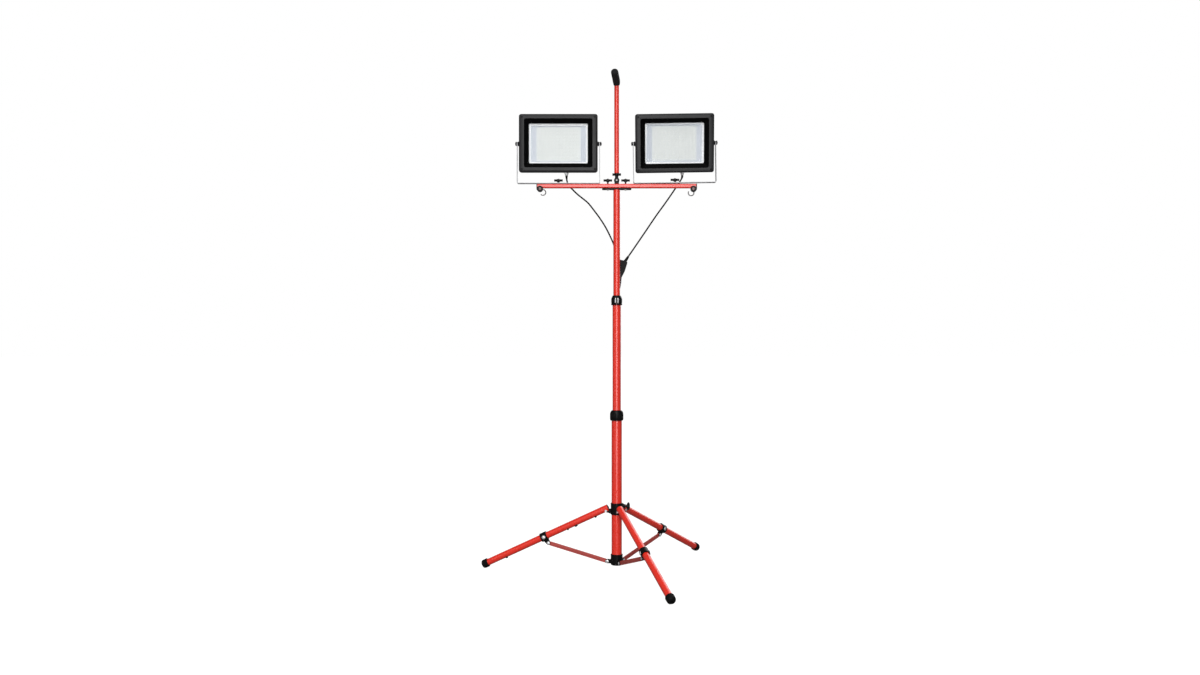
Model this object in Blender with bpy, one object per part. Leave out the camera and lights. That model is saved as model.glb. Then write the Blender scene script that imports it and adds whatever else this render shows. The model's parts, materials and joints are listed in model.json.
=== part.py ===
"""Twin-head LED work light on a folding tripod with a three-section telescopic mast.

Metres, +Z up, feet on z = 0. The lamps face -Y. Heights are above the floor, and x and y are
measured from the mast axis, which the empty "stand_origin" places in the row frame.
"""

import math

import bmesh
import bpy
from mathutils import Matrix, Vector, geometry

# Place of the mast axis, so that the stand's footprint box is centred on the origin.
MAST_X = 0.0640
MAST_Y = 0.0448
GAP = 0.0003
SEGMENTS = 28

# Mast tubes: outer radius, wall and height range.
LOWER_R, MIDDLE_R, TOP_R = 0.0186, 0.0150, 0.0121
WALL = 0.0013
LOWER_Z = (0.0280, 0.5600)
MIDDLE_Z = (0.4200, 0.9780)
TOP_Z = (0.8400, 1.3754)

# Tripod. Pivots are (distance from the mast axis, height).
LEG_AZIMUTHS = (172.6, 48.9, -70.2)
LEG_PIVOT = (0.0375, 0.2185)
STRUT_LEG_PIVOT = (0.2495, 0.0965)
STRUT_HUB_PIVOT = (0.0345, 0.0360)
FOOT_CENTRE = (0.4864, 0.0138)
LEG_PIVOT_OFFSET = 0.0074
LEG_R = 0.0120
HUB_R = 0.0215
LEG_HUB_Z = (0.2055, 0.2470)
LOWER_HUB_Z = (0.0240, 0.0630)
THUMBSCREW_AZIMUTH = -10.0
THUMBSCREW_Z = 0.2360
STRUT_HEIGHT = 0.0115
STRUT_THICK = 0.0040
FORK_GAP = 0.0048
FORK_EAR = 0.0030

# Crossbar and what stands on it.
BAR_Z = (1.3810, 1.3970)
BAR_HALF = 0.2860
BAR_DEPTH = 0.0160
BRACKET = (0.1050, 0.0240, 0.0050)
CLAMP_X = 0.0320
WING_Z = 1.4035
END_DISC = (0.2755, 1.3760)
POST_DISC_Z = 1.4095
LOCK_NUT_Z = 1.4265
HANDLE_Z = 1.4350
HANDLE_BEND_Z = 1.7480
HANDLE_R = 0.0088

# Lamps. A lamp's own frame has its origin on the tilt axis, with x across and z up.
LAMP_X = 0.2100
LAMP_Z = 1.5410
LAMP_SIZE = (0.2830, 0.2090)
YOKE_WIDTH = 0.2994
YOKE_STRIP = (0.0200, 0.0025)
YOKE_Z = 1.3973
OUTWARD = {"left": -1, "right": 1}
LAMP_RIGHT_TILT = 10.6
LAMP_RIGHT_ROLL = -0.8
LAMP_RIGHT_LIFT = 0.0022
WINDOW = (0.2120, 0.1440)
GLAND = (0.0290, 0.0090)

# Cables. The mains lead's unseen length is folded in a hank behind the mast.
CABLE_R = 0.00275
LEAD_R = 0.0035
SPLITTER_Y = 0.0340
HANK_X = 0.0010
HANK_Y = 0.0695
HANK_ARC_Z = (0.8735, 0.9785)
HANK_HALF_WIDTH = 0.0315
HANK_HALF_THICK = 0.0106
LEFT_CABLE_ROUTE = (
    (-0.1810, 0.0090, 1.4267),
    (-0.1809, 0.0093, 1.4198),
    (-0.1795, 0.0120, 1.4085),
    (-0.1755, 0.0150, 1.3970),
    (-0.1692, 0.0165, 1.3880),
    (-0.1605, 0.0178, 1.3800),
    (-0.1428, 0.0200, 1.3629),
    (-0.1180, 0.0220, 1.3432),
    (-0.1016, 0.0235, 1.3290),
    (-0.0805, 0.0255, 1.3025),
    (-0.0602, 0.0275, 1.2752),
    (-0.0369, 0.0300, 1.2382),
    (-0.0126, 0.0325, 1.1873),
    (-0.0040, 0.0338, 1.1600),
    (0.0009, 0.0340, 1.1421),
)
RIGHT_CABLE_ROUTE = (
    (0.2385, 0.0299, 1.4329),
    (0.2384, 0.0312, 1.4262),
    (0.2345, 0.0328, 1.4170),
    (0.2270, 0.0338, 1.4050),
    (0.2143, 0.0343, 1.3855),
    (0.1795, 0.0345, 1.3350),
    (0.1424, 0.0345, 1.2836),
    (0.1010, 0.0343, 1.2225),
    (0.0565, 0.0341, 1.1574),
    (0.0440, 0.0340, 1.1395),
)
LEAD_ROUTE = (
    (0.0128, 0.0340, 1.0475),
    (0.0120, 0.0345, 1.0400),
    (0.0104, 0.0370, 1.0270),
    (0.0090, 0.0400, 1.0140),
    (0.0082, 0.0412, 1.0060),
    (0.0080, 0.0415, 0.9990),
)


# ---------------------------------------------------------------- helpers


def clear_scene():
    for thing in list(bpy.data.objects):
        bpy.data.objects.remove(thing, do_unlink=True)


def make_material(name, colour, roughness, metallic=0.0, alpha=1.0):
    material = bpy.data.materials.new(name)
    material.use_nodes = True
    shader = material.node_tree.nodes["Principled BSDF"]
    shader.inputs["Base Color"].default_value = (*colour, 1.0)
    shader.inputs["Roughness"].default_value = roughness
    shader.inputs["Metallic"].default_value = metallic
    shader.inputs["Alpha"].default_value = alpha
    return material


def skin(rings, closed=False):
    """Mesh skinned over rings of equal length: capped at both ends, or closed into a loop."""
    shape = bmesh.new()
    loops = [[shape.verts.new(point) for point in ring] for ring in rings]
    pairs = list(zip(loops, loops[1:]))
    if closed:
        pairs.append((loops[-1], loops[0]))
    for first, second in pairs:
        count = len(first)
        for i in range(count):
            j = (i + 1) % count
            shape.faces.new((first[i], first[j], second[j], second[i]))
    if not closed:
        shape.faces.new(loops[0])
        shape.faces.new(loops[-1])
    bmesh.ops.recalc_face_normals(shape, faces=shape.faces)
    return shape


def circle(radius, height, count=SEGMENTS):
    angles = [2 * math.pi * i / count for i in range(count)]
    return [(radius * math.cos(a), radius * math.sin(a), height) for a in angles]


def turned(profile, closed=False, count=SEGMENTS):
    """A solid of revolution about Z from (radius, height) points."""
    return skin([circle(r, z, count) for r, z in profile], closed)


def pipe(outer, inner, low, high, count=SEGMENTS):
    return turned([(outer, low), (outer, high), (inner, high), (inner, low)], True, count)


def rod(radius, low, high, count=16):
    return turned([(radius, low), (radius, high)], count=count)


def prism(outline, low, high, axis="Z"):
    """An outline of (a, b) points extruded along axis from low to high."""

    def lift(point, height):
        a, b = point
        return {"Z": (a, b, height), "Y": (a, height, b), "X": (height, a, b)}[axis]

    return skin([[lift(p, low) for p in outline], [lift(p, high) for p in outline]])


def rounded_rectangle(width, height, corner, steps=3):
    """Outline points of a rectangle with arcs at its corners, centred on the origin."""
    points = []
    for turn, (sx, sy) in enumerate(((1, 1), (-1, 1), (-1, -1), (1, -1))):
        for step in range(steps + 1):
            angle = math.radians(90 * turn + 90 * step / steps)
            points.append((
                sx * (width / 2 - corner) + corner * math.cos(angle),
                sy * (height / 2 - corner) + corner * math.sin(angle),
            ))
    return points


def stadium(length, radius, steps=8):
    """Outline of two half circles of this radius whose centres are 0 and length along a."""
    arcs = []
    for centre, start in ((length, -90), (0.0, 90)):
        for step in range(steps + 1):
            angle = math.radians(start + 180 * step / steps)
            arcs.append((centre + radius * math.cos(angle), radius * math.sin(angle)))
    return arcs


def swept(path, radii, count=16):
    """A round solid along a path, with one radius per point."""
    points = [Vector(p) for p in path]
    side = Vector((1, 0, 0))
    rings = []
    for i, point in enumerate(points):
        ahead = points[min(i + 1, len(points) - 1)] - points[max(i - 1, 0)]
        ahead.normalize()
        side = (side - ahead * side.dot(ahead)).normalized()
        up = ahead.cross(side)
        ring = []
        for k in range(count):
            angle = 2 * math.pi * k / count
            ring.append(point + (side * math.cos(angle) + up * math.sin(angle)) * radii[i])
        rings.append(ring)
    return skin(rings)


def smooth_route(points, spacing):
    """Evenly spaced points on a Catmull-Rom curve through the given points."""
    route = [Vector(p) for p in points]
    route = [route[0] * 2 - route[1]] + route + [route[-1] * 2 - route[-2]]
    dense = []
    for p0, p1, p2, p3 in zip(route, route[1:], route[2:], route[3:]):
        for step in range(12):
            t = step / 12
            dense.append(0.5 * (
                2 * p1 + (p2 - p0) * t + (2 * p0 - 5 * p1 + 4 * p2 - p3) * t ** 2
                + (3 * p1 - p0 - 3 * p2 + p3) * t ** 3
            ))
    dense.append(route[-2])
    lengths = [0.0]
    for a, b in zip(dense, dense[1:]):
        lengths.append(lengths[-1] + (b - a).length)
    count = max(2, round(lengths[-1] / spacing))
    even = []
    for k in range(count + 1):
        wanted = lengths[-1] * k / count
        i = max(j for j, length in enumerate(lengths) if length <= wanted + 1e-9)
        if i == len(dense) - 1:
            even.append(dense[-1])
            continue
        part = (wanted - lengths[i]) / (lengths[i + 1] - lengths[i])
        even.append(dense[i].lerp(dense[i + 1], part))
    return even


def link(name, data, at, turn):
    thing = bpy.data.objects.new(name, data)
    bpy.context.scene.collection.objects.link(thing)
    thing.parent = bpy.data.objects["stand_origin"]
    thing.location = at
    thing.rotation_euler = turn
    return thing


def node(name, shape, material, at=(0, 0, 0), turn=(0, 0, 0)):
    """One named piece, with its origin at its own place or on its joint's axis."""
    mesh = bpy.data.meshes.new(name)
    shape.to_mesh(mesh)
    shape.free()
    mesh.shade_smooth()
    mesh.set_sharp_from_angle(angle=math.radians(35))
    mesh.materials.append(material)
    return link(name, mesh, at, turn)


def combine(thing, shape, operation, place=None):
    """Joins shape to thing (UNION) or cuts it away (DIFFERENCE). place is in thing's own frame."""
    shape.transform(place or Matrix())
    mesh = bpy.data.meshes.new(thing.name + "_tool")
    shape.to_mesh(mesh)
    shape.free()
    tool = link(thing.name + "_tool", mesh, thing.location, thing.rotation_euler)
    tool.hide_render = True
    tool.display_type = "WIRE"
    modifier = thing.modifiers.new(operation.title(), "BOOLEAN")
    modifier.operation = operation
    modifier.solver = "EXACT"
    modifier.object = tool


def cord(name, points, radius, material):
    """A plain tube along a cord's route, as a bevelled curve."""
    curve = bpy.data.curves.new(name, "CURVE")
    curve.dimensions = "3D"
    curve.bevel_depth = radius
    curve.bevel_resolution = 2
    curve.use_fill_caps = True
    spline = curve.splines.new("POLY")
    spline.points.add(len(points) - 1)
    for target, point in zip(spline.points, points):
        target.co = (*point, 1.0)
    curve.materials.append(material)
    return link(name, curve, (0, 0, 0), (0, 0, 0))


def about_z(degrees):
    return Matrix.Rotation(math.radians(degrees), 4, "Z")


def along_x(sign=1):
    """Turns a shape made along Z so that it lies along X, towards +X or -X."""
    return Matrix.Rotation(math.radians(90 * sign), 4, "Y")


def along_y():
    """Turns a shape made along Z so that it lies along Y."""
    return Matrix.Rotation(math.radians(-90), 4, "X")


def radial_point(azimuth, radius, height):
    angle = math.radians(azimuth)
    return Vector((radius * math.cos(angle), radius * math.sin(angle), height))


# ---------------------------------------------------------------- tripod


def leg_line():
    """Length from pivot to foot along the leg, and the leg's slope below the horizontal."""
    run = FOOT_CENTRE[0] - LEG_PIVOT[0]
    drop = LEG_PIVOT[1] - FOOT_CENTRE[1]
    slope = math.atan2(drop, run) + math.asin(LEG_PIVOT_OFFSET / math.hypot(run, drop))
    length = math.hypot(run, drop) * math.cos(math.asin(LEG_PIVOT_OFFSET / math.hypot(run, drop)))
    return length, slope


def in_leg_frame(radius, height):
    """(distance along the leg, distance above it), from the leg's pivot."""
    slope = leg_line()[1]
    run = radius - LEG_PIVOT[0]
    rise = height - LEG_PIVOT[1]
    along = run * math.cos(slope) - rise * math.sin(slope)
    above = run * math.sin(slope) + rise * math.cos(slope)
    return along, above


def make_mast(red):
    for name, radius, (low, high) in (
        ("lower_mast_tube", LOWER_R, LOWER_Z),
        ("middle_mast_tube", MIDDLE_R, MIDDLE_Z),
        ("top_mast_tube", TOP_R, TOP_Z),
    ):
        node(name, pipe(radius, radius - WALL, 0.0, high - low), red, (0, 0, low))


def make_collars(black):
    """Twist collars: a barrel round the tube below and a grip round the tube above."""
    lower_bore = LOWER_R + GAP
    middle_bore = MIDDLE_R + GAP
    top_bore = TOP_R + GAP
    lower = [
        (lower_bore, 0.0), (0.0230, 0.0), (0.0237, 0.0012), (0.0237, 0.0270), (0.0205, 0.0345),
        (middle_bore, 0.0345), (middle_bore, 0.0160), (lower_bore, 0.0160),
    ]
    node("lower_collar", turned(lower, True), black, (0, 0, 0.5445))
    upper = [
        (middle_bore, 0.0), (0.0192, 0.0), (0.0200, 0.0030), (0.0192, 0.0060),
        (0.0192, 0.0240), (0.0165, 0.0310), (0.0135, 0.0350), (top_bore, 0.0350),
        (top_bore, 0.0190), (middle_bore, 0.0190),
    ]
    node("upper_collar", turned(upper, True), black, (0, 0, 0.9595))


def ear(pivot, radius, roots):
    """Outline in (radius, height) of an ear: a round tip about its pivot, and its root points."""
    points = list(roots)
    for step in range(16):
        angle = 2 * math.pi * step / 16
        points.append((
            pivot[0] + radius * math.cos(angle),
            pivot[1] + radius * math.sin(angle),
        ))
    return [points[i] for i in geometry.convex_hull_2d(points)]


def make_leg_hub(black):
    low, high = LEG_HUB_Z
    bore = LOWER_R + GAP
    profile = [
        (bore, low), (HUB_R - 0.001, low), (HUB_R, low + 0.001), (HUB_R, high - 0.001),
        (HUB_R - 0.001, high), (bore, high),
    ]
    hub = node("leg_hub", turned(profile, True), black)
    for azimuth in LEG_AZIMUTHS:
        turn = about_z(azimuth)
        roots = ((0.0205, LEG_PIVOT[1] - 0.0110), (0.0205, LEG_PIVOT[1] + 0.0070))
        combine(hub, prism(ear(LEG_PIVOT, 0.0060, roots), -0.003, 0.003, "Y"), "UNION", turn)
        hole = Matrix.Translation((LEG_PIVOT[0], -0.010, LEG_PIVOT[1])) @ along_y()
        combine(hub, rod(0.0028, 0.0, 0.020, 12), "DIFFERENCE", turn @ hole)
    boss = about_z(THUMBSCREW_AZIMUTH) @ Matrix.Translation((0, 0, THUMBSCREW_Z)) @ along_x()
    combine(hub, rod(0.0070, 0.0195, 0.0320), "UNION", boss)
    combine(hub, rod(0.0033, 0.0160, 0.0340, 12), "DIFFERENCE", boss)
    screw_place = radial_point(THUMBSCREW_AZIMUTH, 0, THUMBSCREW_Z)
    screw_turn = (0, math.radians(90), math.radians(THUMBSCREW_AZIMUTH))
    screw = node("hub_thumbscrew", rod(0.0029, 0.0186, 0.0400, 12), black, screw_place, screw_turn)
    combine(screw, turned([(0.0060, 0.0345), (0.0052, 0.0460)], count=16), "UNION")
    wing = [(0.0, -0.0030), (0.0105, -0.0020), (0.0140, 0.0010), (0.0138, 0.0050),
            (0.0060, 0.0080), (-0.0060, 0.0080), (-0.0138, 0.0050), (-0.0140, 0.0010),
            (-0.0105, -0.0020)]
    lifted = [(a, b + 0.0400) for a, b in wing]
    combine(screw, prism(lifted, -0.0023, 0.0023, "Y"), "UNION")


def fork(thing, pivot, roots, frame=None):
    """Two ears, either side of a strut's end."""
    outline = ear(pivot, 0.0070, roots)
    near = FORK_GAP / 2
    for low, high in ((near, near + FORK_EAR), (-near - FORK_EAR, -near)):
        combine(thing, prism(outline, low, high, "Y"), "UNION", frame)


def make_lower_hub(black):
    low, high = LOWER_HUB_Z
    bore = LOWER_R + GAP
    floor = LOWER_Z[0] - GAP
    profile = [
        (0.0060, low), (HUB_R - 0.002, low), (HUB_R, low + 0.002), (HUB_R, high - 0.001),
        (HUB_R - 0.001, high), (bore, high), (bore, floor), (0.0060, floor),
    ]
    hub = node("lower_hub", turned(profile, True), black)
    for azimuth in LEG_AZIMUTHS:
        roots = ((0.0205, STRUT_HUB_PIVOT[1] - 0.007), (0.0205, STRUT_HUB_PIVOT[1] + 0.007))
        fork(hub, STRUT_HUB_PIVOT, roots, about_z(azimuth))


def make_leg(number, azimuth, red, black, rubber, zinc):
    length, slope = leg_line()
    pivot = radial_point(azimuth, *LEG_PIVOT)
    turn = (0, slope, math.radians(azimuth))
    line = Matrix.Translation((0, 0, LEG_PIVOT_OFFSET)) @ along_x()

    tube = pipe(LEG_R, LEG_R - WALL, -0.0104, length - 0.0020, 20)
    tube.transform(line)
    leg = node(f"leg_tube_{number}", tube, red, pivot, turn)
    slot = prism([(-0.020, -0.020), (0.0085, -0.020), (0.0085, 0.007), (-0.020, 0.007)],
                 -0.0034, 0.0034, "Y")
    combine(leg, slot, "DIFFERENCE")
    hole = Matrix.Translation((0, -0.014, 0)) @ along_y()
    combine(leg, rod(0.0028, 0.0, 0.028, 12), "DIFFERENCE", hole)

    outer, bore = 0.0155, LEG_R + GAP
    start, end = length - 0.0145, length + 0.0098
    cap = turned([
        (0.0040, end), (0.0100, end - 0.0008), (0.0138, end - 0.0034), (outer, end - 0.0075),
        (outer, start + 0.0010), (outer - 0.0008, start), (bore, start),
        (bore, length - 0.0016), (0.0040, length - 0.0016),
    ], True, 24)
    cap.transform(line)
    foot = node(f"foot_cap_{number}", cap, rubber, pivot, turn)
    below = prism(rounded_rectangle(0.08, 0.08, 0.01, 1), -0.02, 0.0)
    to_floor = Matrix.Rotation(-slope, 4, "Y")
    to_floor = to_floor @ Matrix.Translation((FOOT_CENTRE[0] - LEG_PIVOT[0], 0, -LEG_PIVOT[1]))
    combine(foot, below, "DIFFERENCE", to_floor)

    along, above = in_leg_frame(*STRUT_LEG_PIVOT)
    collar = turned([
        (bore, along - 0.0070), (0.0150, along - 0.0070), (0.0160, along - 0.0060),
        (0.0160, along + 0.0150), (0.0150, along + 0.0160), (bore, along + 0.0160),
    ], True, 20)
    collar.transform(line)
    clamp = node(f"leg_clamp_{number}", collar, black, pivot, turn)
    root = LEG_PIVOT_OFFSET - 0.0140
    fork(clamp, (along, above), ((along - 0.0050, root), (along + 0.0120, root)))

    pin = node(f"leg_pivot_pin_{number}", rod(0.0025, -0.0130, 0.0130, 12), zinc, pivot,
               (math.radians(90), 0, math.radians(azimuth)))
    for place in ((-0.0140, -0.0122), (0.0122, 0.0140)):
        combine(pin, rod(0.0042, *place), "UNION")


def make_strut(number, azimuth, red):
    run = STRUT_LEG_PIVOT[0] - STRUT_HUB_PIVOT[0]
    rise = STRUT_LEG_PIVOT[1] - STRUT_HUB_PIVOT[1]
    bar = [(-a, b) for a, b in stadium(math.hypot(run, rise), STRUT_HEIGHT / 2)]
    place = radial_point(azimuth, *STRUT_LEG_PIVOT)
    turn = (0, -math.atan2(rise, run), math.radians(azimuth))
    shape = prism(bar, -STRUT_THICK / 2, STRUT_THICK / 2, "Y")
    node(f"strut_{number}", shape, red, place, turn)


# ---------------------------------------------------------------- head


def make_crossbar(red, black):
    outer = rounded_rectangle(BAR_DEPTH, BAR_Z[1] - BAR_Z[0], 0.0045)
    inner = rounded_rectangle(BAR_DEPTH - 0.003, BAR_Z[1] - BAR_Z[0] - 0.003, 0.0030)
    rings = [[(x, a, b) for a, b in outline] for outline, x in (
        (outer, -BAR_HALF), (outer, BAR_HALF), (inner, BAR_HALF), (inner, -BAR_HALF))]
    middle = (BAR_Z[0] + BAR_Z[1]) / 2
    bar = node("crossbar", skin(rings, True), red, (0, 0, middle))
    for x, low in ((-CLAMP_X, -0.012), (CLAMP_X, -0.012), (-LAMP_X, 0.0), (LAMP_X, 0.0)):
        combine(bar, rod(0.0033, low, 0.012, 12), "DIFFERENCE", Matrix.Translation((x, 0, 0)))

    width, depth, thick = BRACKET
    top = BAR_Z[0] - GAP
    plate = prism(rounded_rectangle(width, depth, 0.004), -thick, 0.0)
    bracket = node("crossbar_bracket", plate, black, (0, 0, top))
    combine(bracket, rod(TOP_R - WALL - GAP, -0.0300, -0.0020), "UNION")
    for x in (-CLAMP_X, CLAMP_X):
        combine(bracket, rod(0.0033, -0.010, 0.005, 12), "DIFFERENCE", Matrix.Translation((x, 0, 0)))


def make_end_cap(side, sign, black, chrome, hook_angle):
    """End cap with a round boss in front of and below the bar's end, and the hook behind it."""
    disc_x, disc_z = sign * END_DISC[0], END_DISC[1]
    boss = node(f"crossbar_end_cap_{side}", rod(0.0110, 0.0, 0.0115, 24), black,
                (disc_x, -0.0240, disc_z), (math.radians(-90), 0, 0))
    back = boss.matrix_basis.inverted()
    combine(boss, rod(0.0030, 0.0100, 0.0300, 12), "UNION")
    bar_end = BAR_HALF + GAP
    under_bar = BAR_Z[0] - GAP
    shelf_low = BAR_Z[0] - 0.0050
    disc_neck = (END_DISC[0] - 0.0060, END_DISC[0] + 0.0060, disc_z - 0.0060, under_bar)
    shelf = (bar_end - 0.0060, bar_end + 0.0025, shelf_low, under_bar)
    end_plate = (bar_end, bar_end + 0.0025, shelf_low, BAR_Z[1])
    for (inner, outer, low, high), reach in (
        (disc_neck, (0.0, 0.0070)), (shelf, (0.0, 0.0070)), (end_plate, (-0.0080, 0.0080)),
    ):
        corners = [(sign * inner, low), (sign * outer, low), (sign * outer, high), (sign * inner, high)]
        combine(boss, prism(corners, *reach, "Y"), "UNION", back)

    eye = node(f"cable_hook_{side}", pipe(0.0058, 0.0034, 0.0, 0.0032, 16), chrome,
               (disc_x, -0.0120, disc_z), (math.radians(-90), math.radians(hook_angle), 0))
    radius = 0.0102
    centre = Vector((0, 0.0153, 0.0016))
    path = []
    for step in range(21):
        angle = math.radians(-90 + 270 * step / 20)
        path.append(centre + Vector((radius * math.cos(angle), radius * math.sin(angle), 0)))
    combine(eye, swept(path, [0.0019] * len(path), 10), "UNION")


def wing_knob_outline():
    """Top view of a two-winged knob: a round hub between two widening wings."""
    half = []
    for x, y in ((0.0045, 0.0062), (0.0075, 0.0038), (0.0110, 0.0036), (0.0142, 0.0042),
                 (0.0155, 0.0026), (0.0155, 0.0)):
        half.append((x, y))
    right = half + [(x, -y) for x, y in reversed(half[:-1])]
    left = [(-x, -y) for x, y in right]
    return right[::-1] + left[::-1]


def make_wing_knob(name, material, at, shank_low, turn=(0, 0, 0)):
    """Wing knob on a screw that reaches down to shank_low."""
    knob = node(name, prism(wing_knob_outline(), 0.0022, 0.0092), material, at, turn)
    combine(knob, turned([(0.0052, 0.0), (0.0062, 0.0050), (0.0062, 0.0098)], count=16), "UNION")
    combine(knob, rod(0.0029, shank_low - at[2], 0.0040, 12), "UNION")


def make_handle(red, black, foam):
    post = node("handle_post", rod(0.0098, -0.0060, 0.0060, 24), black, (0, 0, POST_DISC_Z),
                (math.radians(-90), 0, 0))
    back = post.matrix_basis.inverted()
    foot_low = BAR_Z[1] + GAP
    foot = prism(rounded_rectangle(0.0160, 0.0140, 0.002, 1), foot_low, POST_DISC_Z - 0.004)
    combine(post, foot, "UNION", back)
    combine(post, rod(0.0040, POST_DISC_Z + 0.006, HANDLE_Z + 0.025, 14), "UNION", back)
    combine(post, rod(0.0062, POST_DISC_Z + 0.004, LOCK_NUT_Z - GAP, 16), "UNION", back)

    nut = node("handle_lock_nut", prism(wing_knob_outline(), 0.0002, 0.0078), black,
               (0, 0, LOCK_NUT_Z))
    combine(nut, rod(0.0078, 0.0, 0.0082), "UNION")
    combine(nut, rod(0.0043, -0.002, 0.010, 14), "DIFFERENCE")

    bend = 0.0220
    lean = math.radians(70)
    yaw = math.radians(188)
    forward = Vector((math.sin(yaw), math.cos(yaw), 0))
    top = Vector((0, 0, HANDLE_BEND_Z))
    path = [Vector((0, 0, HANDLE_Z)), Vector((0, 0, HANDLE_Z + 0.028)), top]
    for step in range(1, 7):
        angle = lean * step / 6
        path.append(top + forward * bend * (1 - math.cos(angle)) + Vector((0, 0, bend * math.sin(angle))))
    way = (forward * math.sin(lean) + Vector((0, 0, math.cos(lean)))).normalized()
    path.append(path[-1] + way * 0.046)
    tube = node("handle_tube", swept(path, [HANDLE_R] * len(path), 20), red)
    combine(tube, rod(0.0043, HANDLE_Z - 0.001, HANDLE_Z + 0.0265, 14), "DIFFERENCE")

    inside = HANDLE_R + GAP
    sleeve = [path[2] + Vector((0, 0, 0.004))] + path[3:]
    outer = [0.0104, 0.0126, 0.0133, 0.0133, 0.0133, 0.0133, 0.0133, 0.0133]
    ends = [path[-1] + way * 0.0060, path[-1] + way * 0.0100]
    grip = node("handle_grip", swept(sleeve + ends, outer + [0.0128, 0.0095], 24), foam)
    combine(grip, swept([path[1]] + path[2:-1] + [path[-1] + way * GAP],
                        [inside] * (len(path) - 1), 20), "DIFFERENCE")


# ---------------------------------------------------------------- lamps


def rectangle_ring(size, corner, depth):
    """Ring of points of a rounded rectangle that stands in the x-z plane at y = depth."""
    return [(a, depth, b) for a, b in rounded_rectangle(size[0], size[1], corner)]


def grown(size, amount):
    return (size[0] + amount, size[1] + amount)


def bezel_shape():
    """Front frame: chamfered outside, flat band, and a sloping recess down to the window."""
    width, height = LAMP_SIZE
    band = (width - 0.0110, height - 0.0110)
    recess = (width - 0.0370, height - 0.0330)
    rings = [
        (LAMP_SIZE, 0.0080, -0.0065), (LAMP_SIZE, 0.0080, -0.0165), (band, 0.0060, -0.0215),
        (recess, 0.0060, -0.0222), (WINDOW, 0.0035, -0.0098), (WINDOW, 0.0035, -0.0065),
    ]
    return skin([rectangle_ring(size, corner, y) for size, corner, y in rings], True)


def housing_shape():
    """Open tray behind the bezel."""
    outer = grown(LAMP_SIZE, -0.0040)
    back = grown(LAMP_SIZE, -0.0200)
    inner = grown(WINDOW, 0.0140)
    front = -0.0065 + GAP
    rings = [
        (inner, 0.005, 0.0125), (inner, 0.005, front), (outer, 0.007, front),
        (outer, 0.007, 0.0110), (back, 0.007, 0.0165),
    ]
    return skin([rectangle_ring(size, corner, y) for size, corner, y in rings])


def fin_comb():
    """Top view of the cooling fins as one comb, in (x, y)."""
    end, back, root, tip = 0.1240, 0.0150, 0.0180, 0.0260
    pitch, fins = 0.0225, 12
    half_root, half_tip = 0.00225, 0.00145
    points = [(-end, back)]
    for i in range(fins):
        x = pitch * (i - (fins - 1) / 2)
        points += [(x - half_root, root), (x - half_tip, tip), (x + half_tip, tip), (x + half_root, root)]
    points.append((end, back))
    return points


def led_module_shape():
    """Reflector tray: a flange round the window, sloping side walls and the LED board."""
    outer = grown(WINDOW, 0.0120)
    flange = grown(WINDOW, -0.0130)
    board = (WINDOW[0] - 0.0500, WINDOW[1] - 0.0190)
    rings = [
        (outer, 0.004, 0.0118), (outer, 0.004, -0.0016), (flange, 0.003, -0.0016),
        (board, 0.003, 0.0060),
    ]
    return skin([rectangle_ring(size, corner, y) for size, corner, y in rings])


def make_yoke(side, steel, base, roll):
    depth, thick = YOKE_STRIP
    half = YOKE_WIDTH / 2
    bend = 0.0060
    arm_top = LAMP_Z - YOKE_Z
    outside = [(half, arm_top)]
    inside = [(half - thick, arm_top)]
    for step in range(5):
        angle = math.radians(90 * step / 4)
        outside.append((half - bend + bend * math.cos(angle), bend - bend * math.sin(angle)))
        reach = bend - thick
        inside.append((half - bend + reach * math.cos(angle), bend - reach * math.sin(angle)))
    right = outside[::-1]
    outline = right + inside + [(-a, b) for a, b in inside[::-1]] + [(-a, b) for a, b in outside]
    yoke = node(f"yoke_{side}", prism(outline, -depth / 2, depth / 2, "Y"), steel, base, roll)
    for sign in (-1, 1):
        low = sign * half if sign < 0 else half - thick
        tip = prism([(-depth / 2, arm_top - 0.0020), (depth / 2, arm_top - 0.0020),
                     (depth / 2, arm_top), (0.0055, arm_top + 0.0062),
                     (-0.0055, arm_top + 0.0062), (-depth / 2, arm_top)], low, low + thick, "X")
        combine(yoke, tip, "UNION")
        hole = rod(0.0033, low - 0.003, low + thick + 0.003, 12)
        combine(yoke, hole, "DIFFERENCE", Matrix.Translation((0, 0, arm_top)) @ along_x())
    combine(yoke, rod(0.0033, -0.003, 0.006, 12), "DIFFERENCE")


def make_tilt_knob(name, sign, centre, turn, black):
    """Flared knob outside a yoke arm, with its screw going through the arm into the lamp."""
    start = YOKE_WIDTH / 2 + GAP
    profile = [(0.0029, start - 0.0070), (0.0029, start), (0.0052, start),
               (0.0060, start + 0.0012), (0.0055, start + 0.0035), (0.0035, start + 0.0055)]
    knob = node(name, turned(profile, count=16), black, centre, turn)
    wing = [(0.0075, start + 0.0012), (0.0075, start + 0.0040), (0.0, start + 0.0062),
            (-0.0075, start + 0.0040), (-0.0075, start + 0.0012)]
    combine(knob, prism(wing, -0.0018, 0.0018, "Y"), "UNION")
    for thing in [knob] + [modifier.object for modifier in knob.modifiers]:
        thing.data.transform(along_x(sign))


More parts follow.
